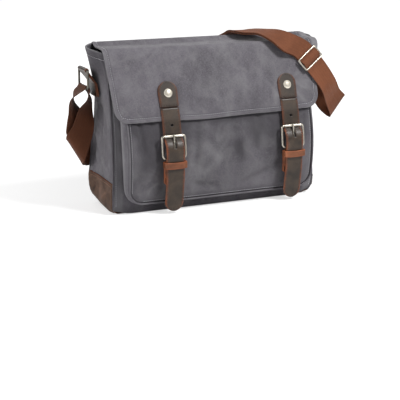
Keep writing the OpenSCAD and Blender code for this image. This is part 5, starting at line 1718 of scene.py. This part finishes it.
class BAG_OT_back_band(Piece):
    """Webbing band across the back, for a trolley's handle, under two cross-stitched leather patches"""
    bl_idname = "bag.back_band"
    bl_label = "Back band"

    def build(self, c):
        x, z = np.linspace(-BAND_HALF, BAND_HALF, 110)[:, None], np.linspace(175, 217, 15)[None, :]
        free, up = BAND_HALF - 49, np.abs(z - BAND_Z)
        off = 0.3 + np.where(np.abs(x) < free, 7.5 * (1 - (x / free) ** 2), 0)
        y = face_y(z) + off + WEB_T - 0.5 * np.clip(up / 21 - 0.86, 0, 1) / 0.14
        cl = Cloth(x[:, 0], z[0], grid(x, y, z)).facing((0, 1.0, 0)).mark("edge", step(17, 21, up))
        band = sew("band", cl, WEB_T, finish_of("webbing"), bulge=0.3)
        band = add("back_band_webbing", "bag", ["back_band"], band, slot="webbing")
        length = float(along(cl.p[:, 7])[-1])
        for side, sign in (("left", -1), ("right", 1)):
            patch, lines = self.patch(sign)
            add_sewn("band", side, "bag", "band_patch", patch, lines, "brown thread",
                     Pitch=3.4, Length=2.5, Thread=0.5)

    def patch(self, sign):
        """The leather over one end of the band, which dips beyond the webbing, and its stitches' rows."""
        w, h = 24.5, 23.5
        middle = sign * (BAND_HALF + 2.5 - w)
        across, up = (size * np.sin(np.linspace(-np.pi / 2, np.pi / 2, 21)) for size in (w, h))
        x, z = middle + across[None, :], BAND_Z + up[:, None]
        over = step(21.5, 20.0, np.abs(z - BAND_Z)) * step(sign * 137.5, sign * 135.0, x)
        lift = 2.0 - 1.1 * (1 - over)
        cl = Cloth(up, across, grid(x, face_y(z) + 2.1 + lift, z)).facing((0, 1.0, 0))
        inside = np.minimum(h - np.abs(z - BAND_Z), w - np.abs(x - middle))
        cl.mark("edge", step(2.4, 0.3, inside)).push(-0.25 * bell(inside - 3.0, 0.8))
        box = [(-20.5, -21.5), (20.5, -21.5), (20.5, 21.5), (-20.5, 21.5), (-20.5, -21.5)]
        lines = [cl.path(even(v, 1.5), 0.15) for v in (box, [(-20, -21), (20, 21)], [(20, -21), (-20, 21)])]
        return sew("patch", cl, 1.0 + lift, finish_of("leather"), bulge=0.15), lines


FITTINGS = ("buckle_frame", "buckle_roller", "buckle_prong", "side_ring", "strap_slider", "snap_stud",
            "snap_socket")


class BAG_OT_metal(Piece):
    """Antique nickel for the buckles, rollers, prongs, slider and snaps, and a darker nickel for the rings,
    partly their own tone and partly painted shade
    """
    bl_idname = "bag.metal"
    bl_label = "Metal fittings"

    def build(self, c):
        bright, dark_shaded_nickel = finish_of("metal"), finish_of("dark_shaded_nickel")
        for name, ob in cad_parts.items():
            if name.startswith(FITTINGS) and not ob.hide_render:
                if not ob.material_slots:
                    ob.data.materials.append(bright)
                for slot in ob.material_slots:
                    # the rings get the darker metal, partly their own tone and partly painted shade
                    slot.material = dark_shaded_nickel if name.startswith("side_ring") else bright


# ---- shoulder strap ----
# Runs of the webbing as rungs: each rung has the two edges' points (x, y, z) at one place on the way.
OVER_RUN = [    # from the left side up the back, over the flap to the slider
    [(-174, 60, 102), (-181, 61, 64)], [(-133, 61, 101), (-124, 63, 64)], [(-94, 59, 120), (-70, 61, 91)],
    [(-63, 56, 159), (-33, 58, 136)], [(-36, 53, 203), (-4, 55, 183)], [(-9, 50, 242), (25, 52, 226)],
    [(16, 41, 276), (50, 44, 260)], [(27, 33, 288), (61, 42, 278)], [(36, 20, 293.5), (70, 35, 289)],
    [(56, -4, 290), (88, 18.5, 294)], [(80, -22, 284), (109, 1, 294)], [(103, -38.5, 273), (131, -16, 289.5)],
    [(124, -47.5, 256.5), (151, -34, 281)]]
LOW_FOLD = [[(-238.5, 33, 122), (-208.5, 32, 78)], [(-232, 44, 113), (-206, 47, 68)]]
FRONT_LEAF = [    # from the left ring down, on its front
    [(-216, -13, 190), (-199, 21, 188)], [(-224, 0, 175), (-196, 24, 165)],
    [(-232, 18, 142), (-194, 24, 134)]]
BACK_LEAF = [    # and down behind it
    [(-228, -11, 201), (-225, 27, 200)], [(-238, -6, 193), (-226, 29, 187)],
    [(-240, 14, 161), (-208, 34, 158)], [(-240, 27, 139), (-203, 35, 131)]]
END_RUN = [    # from the slider down, then up to the right ring
    [(196, -60, 185), (228, -49, 204)], [(214, -45, 160), (247, -35, 181)],
    [(239, -17, 127), (263, -26, 167)], [(226, -2, 141), (247, -18, 176)],
    [(220, 18, 167), (232, -14, 187)], [(220, 25, 200), (220.5, -12, 201)]]
END_LEAF = [[(213.8, 26, 203), (213.8, -12, 203)], [(216.8, 25, 194), (217.6, -12, 196)]]
SLIDER_AT = np.array((179, -48.28, 240.44))
SLIDER_ALONG = np.array((0.5878, -0.2600, -0.7661))    # the webbing's way through the slider
SLIDER_ACROSS = np.array((0.8090, 0.1889, 0.5566))
SLIDER_OUT = np.array((0, -0.9469, 0.3214))
RING_WEB_R = 3.05    # the webbing's radius round a ring's lower bar

# each length's name, its first and last rung, its bodies, where its bend starts and ends, how it is held
LENGTHS = (
    ("webbing_inner_front", 0, 5, ("flap_front", "flap_top"), ((0, -40, 267), (0, -14, 287)), "laid"),
    ("webbing_inner_over", 5, 12, ("flap_top", "bag"), BACK_CUT[::-1], "laid"),
    ("webbing_inner_behind", 12, 17, ("bag",), None, "folded"),
    ("webbing_left_loop", 17, 28, ("ring_left", "bag"), ((-215, 7, 202), (-222, 20, 160)), "folded"),
    ("webbing_behind", 28, 33, ("bag",), None, "folded"),
    ("webbing_over", 33, 40, ("flap_top", "bag"), BACK_CUT[::-1], "laid"),
    ("webbing_front", 40, 43.15, ("flap_top", "flap_front"), ((0, -14, 287), (0, -40, 267)), "laid"),
    ("webbing_above_slider", 43.15, 44.5, ("flap_front", "slider"),
     (SLIDER_AT - 44 * SLIDER_ALONG, SLIDER_AT - 14 * SLIDER_ALONG), "laid"),
    ("webbing_in_slider", 44.5, 48.5, ("slider",), None, "laid"),
    ("webbing_below_slider", 48.5, 50, ("slider", "flap_front"),
     (SLIDER_AT + 14 * SLIDER_ALONG, SLIDER_AT + 50 * SLIDER_ALONG), "laid"),
    ("webbing_right_drop", 50, 52, ("flap_front", "flap_top"), ((200, -55, 190), (250, -22, 155)), "hung"),
    ("webbing_right_rise", 52, 55, ("flap_top", "bag"), ((246, -18, 160), (226, 6, 190)), "hung"),
    ("webbing_right_end", 55, 62, ("bag", "ring_right"), ((221, 7, 196), (215, 7, 206)), "folded"))
LAST_RUNG = 62


def slider_rungs(*places):
    """Rungs in the slider, each so far along it and out from its middle."""
    mids = [SLIDER_AT + s * SLIDER_ALONG + n * SLIDER_OUT for s, n in places]
    return [np.array([m - SLIDER_ACROSS * WEB_W / 2, m + SLIDER_ACROSS * WEB_W / 2]) for m in mids]


def layer(rungs, d):
    """A run's rungs after the first, moved off their surface by d and twice as far where it's folded."""
    out = []
    for i in range(1, len(rungs)):
        onwards = rungs[min(i + 1, len(rungs) - 1)].mean(0) - rungs[i - 1].mean(0)
        off = unit(np.cross(rungs[i][1] - rungs[i][0], onwards)) * d
        out.append(rungs[i] + off * (2 if i < 3 else 1))
    return out


def ring_turn(side):
    """Rungs round the lower bar of a side ring."""
    r, low = RING_WEB_R, RING_Z - RING_H
    rungs = []
    for a in np.linspace(0, math.pi, 5):
        x, z = side * (RING_X + r * math.cos(a)), low + r * math.sin(a)
        rungs.append(np.array([(x, RING_Y + side * k * WEB_W / 2, z) for k in (1, -1)]))
    return rungs


def webbing_rungs():
    """The route: out of the slider and back to the left ring, again over the flap, then to the right ring."""
    far = np.array(FRONT_LEAF[2:] + LOW_FOLD + OVER_RUN, float)
    route = np.array([
        *slider_rungs((-3, -4.65), (-15, -4.65)), *layer(far, 1.0)[::-1], *BACK_LEAF[::-1], *ring_turn(-1),
        *FRONT_LEAF, *layer(far, -1.0),
        *slider_rungs((-15, -2.65), (-10, -2.65), (-2, 2.55), (2, 2.55), (10, -2.65), (15, -2.65)),
        *END_RUN, *ring_turn(1), *END_LEAF])
    _, y, z = route.mean(1).T
    route[..., 0] += (12.0 * step(225, 285, z) * step(-40, 0, y))[:, None]
    route[..., 0] += (12.0 * step(180, 265, z) * step(20, 36, y))[:, None]
    route[..., 2] -= settle(route[..., 1], route[..., 2])
    return route


def smooth_rungs(rungs, pitch=2.6):
    """Rungs a short step apart on smooth edges, and their places on the route.

    Each span's tangents follow its own length."""
    m, k = rungs.reshape(len(rungs), 6), along(rungs.mean(1))
    slope, h = np.diff(m, axis=0) / np.diff(k)[:, None], np.diff(k)[:, None]
    inner = (slope[:-1] * h[1:] + slope[1:] * h[:-1]) / (h[:-1] + h[1:])
    tangent = np.concatenate([slope[:1], inner, slope[-1:]])
    out, index = [], []
    for i, span in enumerate(np.diff(k)):
        n = max(2, int(math.ceil(span / pitch)))
        for u in np.arange(n) / n:
            out.append((2 * u ** 3 - 3 * u * u + 1) * m[i] + (u ** 3 - 2 * u * u + u) * span * tangent[i]
                       + (3 * u * u - 2 * u ** 3) * m[i + 1] + (u ** 3 - u * u) * span * tangent[i + 1])
            index.append(i + u)
    return np.array([*out, m[-1]]).reshape(-1, 2, 3), np.array([*index, len(m) - 1])


class BAG_OT_webbing(Piece):
    """The shoulder strap in lengths that follow the bag, the flap and the rings"""
    bl_idname = "bag.webbing"
    bl_label = "Shoulder strap"

    def build(self, c):
        rungs, index = smooth_rungs(webbing_rungs())
        arc = along(rungs.mean(1))
        side = unit(rungs[:, 1] - rungs[:, 0])
        up = unit(np.cross(side, unit(np.gradient(rungs.mean(1), axis=0))))
        for name, first, last, bodies, bend, held in LENGTHS:
            part = slice(nearest(index, first), nearest(index, last) + 1)
            width = np.linalg.norm(rungs[part, 1] - rungs[part, 0], axis=1)
            cl = self.cloth(arc[part], rungs[part].mean(1), side[part] * width[:, None] / 2, up[part])
            ob = sew(name, cl, WEB_T, finish_of("webbing"), bulge=0.3, flush=(first != 0, last != LAST_RUNG),
                     start=arc[part][0])
            if len(bodies) == 1:
                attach(ob, bodies[0])
            if first == 0:
                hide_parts("shoulder_webbing")
            if len(bodies) == 2:
                bends(ob, bodies, bend)

    def cloth(self, arc, middle, side, up):
        """One length's face, with its edges drawn in and marked, and painted shade darkening it at the bag's
        left end.
        """
        cols = mirrored(0.3, 0.6, 0.84, 0.96, 1)
        edge = np.abs(cols)
        centre = middle + up * WEB_T / 2
        p = centre[:, None] + side[:, None] * cols[:, None]
        p = p - up[:, None] * (0.35 * np.clip((edge - 0.9) / 0.1, 0, 1))[:, None]
        cl = Cloth(arc, cols, p).facing(up[:, None])
        cl.n = np.broadcast_to(up[:, None], p.shape)
        cl.mark("edge", step(0.88, 1.0, edge))
        x, _, z = centre.T
        # painted shade on the lengths at the bag's left end, round the left ring
        near = step(-150, -205, x) * step(150, 175, z)
        return cl.mark("shade", (0.65 * step(-150, -190, x) + 0.35 * near)[:, None])


# ---- floor, lights and camera ----
class BagStage(bpy.types.PropertyGroup):
    floor: colour_prop("Floor", "Colour of the floor under the bag", (206, 206, 206))
    glow: bpy.props.FloatProperty(
        name="Backdrop", description="How far the floor is lifted to white where the camera sees it",
        default=0.72, min=0.0, max=1.0, subtype="FACTOR")
    key: bpy.props.FloatProperty(
        name="Key light", description="Strength of the lamp in front, at the upper right",
        default=44.0, min=0.0, unit="POWER")
    fill: bpy.props.FloatProperty(
        name="Fill light", description="Strength of the lamp behind; the lamp at the left has more",
        default=9.0, min=0.0, unit="POWER")
    sky: bpy.props.FloatProperty(
        name="Sky light", description="Strength of the even light from all round", default=0.27, min=0.0)
    lens: bpy.props.FloatProperty(
        name="Lens", description="Focal length of the camera, in millimetres",
        default=97.12, min=20.0, max=300.0)


FLOOR_HALF = 9000.0    # half the floor's width, in millimetres
LEFT_LAMP = 2.6    # the left lamp's strength, with the one behind as 1
CAMERA_AT = (-0.75579, -1.67894, 0.49504)    # in metres
CAMERA_WAY = (0.392192, 0.881481, -0.263014)   # the way it looks


def area_lamp(name, where, height, size, power):
    """A round lamp that looks at a point above the middle of the floor."""
    data = bpy.data.lights.new(name, "AREA")
    data.shape, data.size, data.energy = "DISK", size, power
    ob = bpy.data.objects.new(name, data)
    bpy.context.scene.collection.objects.link(ob)
    ob.location = where
    ob.rotation_euler = (Vector((0, 0, height)) - Vector(where)).to_track_quat("-Z", "Y").to_euler()


class BAG_OT_stage(bpy.types.Operator):
    """Pale floor, soft lamps, even sky and the camera"""
    bl_idname = "bag.stage"
    bl_label = "Floor, lights and camera"

    def execute(self, context):
        s, scene = props("bag_stage"), context.scene
        scene.view_settings.view_transform = "Standard"
        corners = [(x, y, 0.0) for x, y in ((-1, -1), (1, -1), (1, 1), (-1, 1))]
        floor = mesh_of("floor", np.array(corners) * FLOOR_HALF, [(0, 1, 2, 3)])
        link("floor", floor, self.floor(s))
        scene.world = self.sky(s)
        area_lamp("Key", (0.95, -1.25, 1.75), 0.14, 0.5, s.key)
        area_lamp("Fill", (-2.1, -0.3, 0.9), 0.14, 1.2, LEFT_LAMP * s.fill)
        area_lamp("Rim", (-0.4, 1.8, 1.5), 0.16, 1.2, s.fill)
        cam = bpy.data.cameras.new("Camera")
        cam.lens, cam.sensor_width, cam.sensor_fit, cam.clip_end = s.lens, 36.0, "HORIZONTAL", 50.0
        scene.camera = bpy.data.objects.new("Camera", cam)
        scene.collection.objects.link(scene.camera)
        scene.camera.location = CAMERA_AT
        scene.camera.rotation_euler = Vector(CAMERA_WAY).to_track_quat("-Z", "Y").to_euler()
        return {"FINISHED"}

    def floor(self, s):
        """A matt floor that the camera sees brighter with distance, while it lights the bag as it is."""
        mat = bpy.data.materials.new("Pale floor")
        mat.use_nodes = True
        mat.node_tree.nodes.clear()
        w = Wires(mat.node_tree)
        at, path = w.node("ShaderNodeTexCoord", {})["Object"], w.node("ShaderNodeLightPath", {})
        col = w.mix(w.span(w.noise(at, 3.0, 2.0), 0.3, 0.7), scaled(s.floor, 0.985), s.floor)
        matt = w.node("ShaderNodeBsdfPrincipled", {
            "Base Color": col, "Roughness": 0.9, "Specular IOR Level": 0.1})
        seen = w.math("MAXIMUM", path["Is Camera Ray"], path["Is Glossy Ray"])
        seen = w.math("MAXIMUM", seen, path["Is Transmission Ray"])
        far = w.node("ShaderNodeVectorMath", {0: at}, operation="LENGTH")["Value"]
        bright = w.span(far, 0.25, 1.2, s.glow - 0.16, s.glow + 0.1)
        glow = w.node("ShaderNodeEmission", {"Strength": w.math("MULTIPLY", seen, bright)})
        both = w.node("ShaderNodeAddShader", {0: matt[0], 1: glow[0]})
        w.node("ShaderNodeOutputMaterial", {"Surface": both[0]})
        return mat

    def sky(self, s):
        """An even sky, white where the camera sees it and dimmer as a light."""
        world = bpy.data.worlds.new("Soft sky")
        world.use_nodes = True
        world.node_tree.nodes.clear()
        w = Wires(world.node_tree)
        path = w.node("ShaderNodeLightPath", {})
        seen = w.math("MAXIMUM", path["Is Camera Ray"], path["Is Transmission Ray"])
        strength = w.math("ADD", w.math("MULTIPLY", seen, 1.0 - s.sky), s.sky)
        back = w.node("ShaderNodeBackground", {"Color": (1, 1, 1, 1), "Strength": strength})
        w.node("ShaderNodeOutputWorld", {"Surface": back[0]})
        return world


PIECES = [BAG_OT_walls, BAG_OT_base, BAG_OT_corners, BAG_OT_lining, BAG_OT_divider, BAG_OT_zip, BAG_OT_pocket,
          BAG_OT_flap, BAG_OT_straps, BAG_OT_tabs, BAG_OT_chapes, BAG_OT_ring_tabs, BAG_OT_back_band,
          BAG_OT_webbing, BAG_OT_metal, BAG_OT_stage]
SETTINGS = {"bag_colours": BagColours, "bag_cloth": BagCloth, "bag_stage": BagStage}


class BAG_PT_panel(bpy.types.Panel):
    """Lists the bag's settings and the buttons that build each piece"""
    bl_idname = "BAG_PT_panel"
    bl_label = "Messenger bag"
    bl_space_type = "VIEW_3D"
    bl_region_type = "UI"
    bl_category = "Messenger bag"

    def draw(self, context):
        for key in SETTINGS:
            box, settings = self.layout.box(), getattr(context.scene, key)
            for name in settings.bl_rna.properties.keys():
                if name not in ("rna_type", "name"):
                    box.prop(settings, name)
        for piece in PIECES:
            self.layout.operator(piece.bl_idname)


CLASSES = [*SETTINGS.values(), *PIECES, BAG_PT_panel]


def register():
    for cls in CLASSES:
        bpy.utils.register_class(cls)
    for key, cls in SETTINGS.items():
        setattr(bpy.types.Scene, key, bpy.props.PointerProperty(type=cls))


def unregister():
    for key in SETTINGS:
        delattr(bpy.types.Scene, key)
    for cls in reversed(CLASSES):
        bpy.utils.unregister_class(cls)


def main():
    register()
    for piece in PIECES:
        space, name = piece.bl_idname.split(".")
        getattr(getattr(bpy.ops, space), name)()
    bpy.context.view_layer.update()


if __name__ == "__main__":
    main()
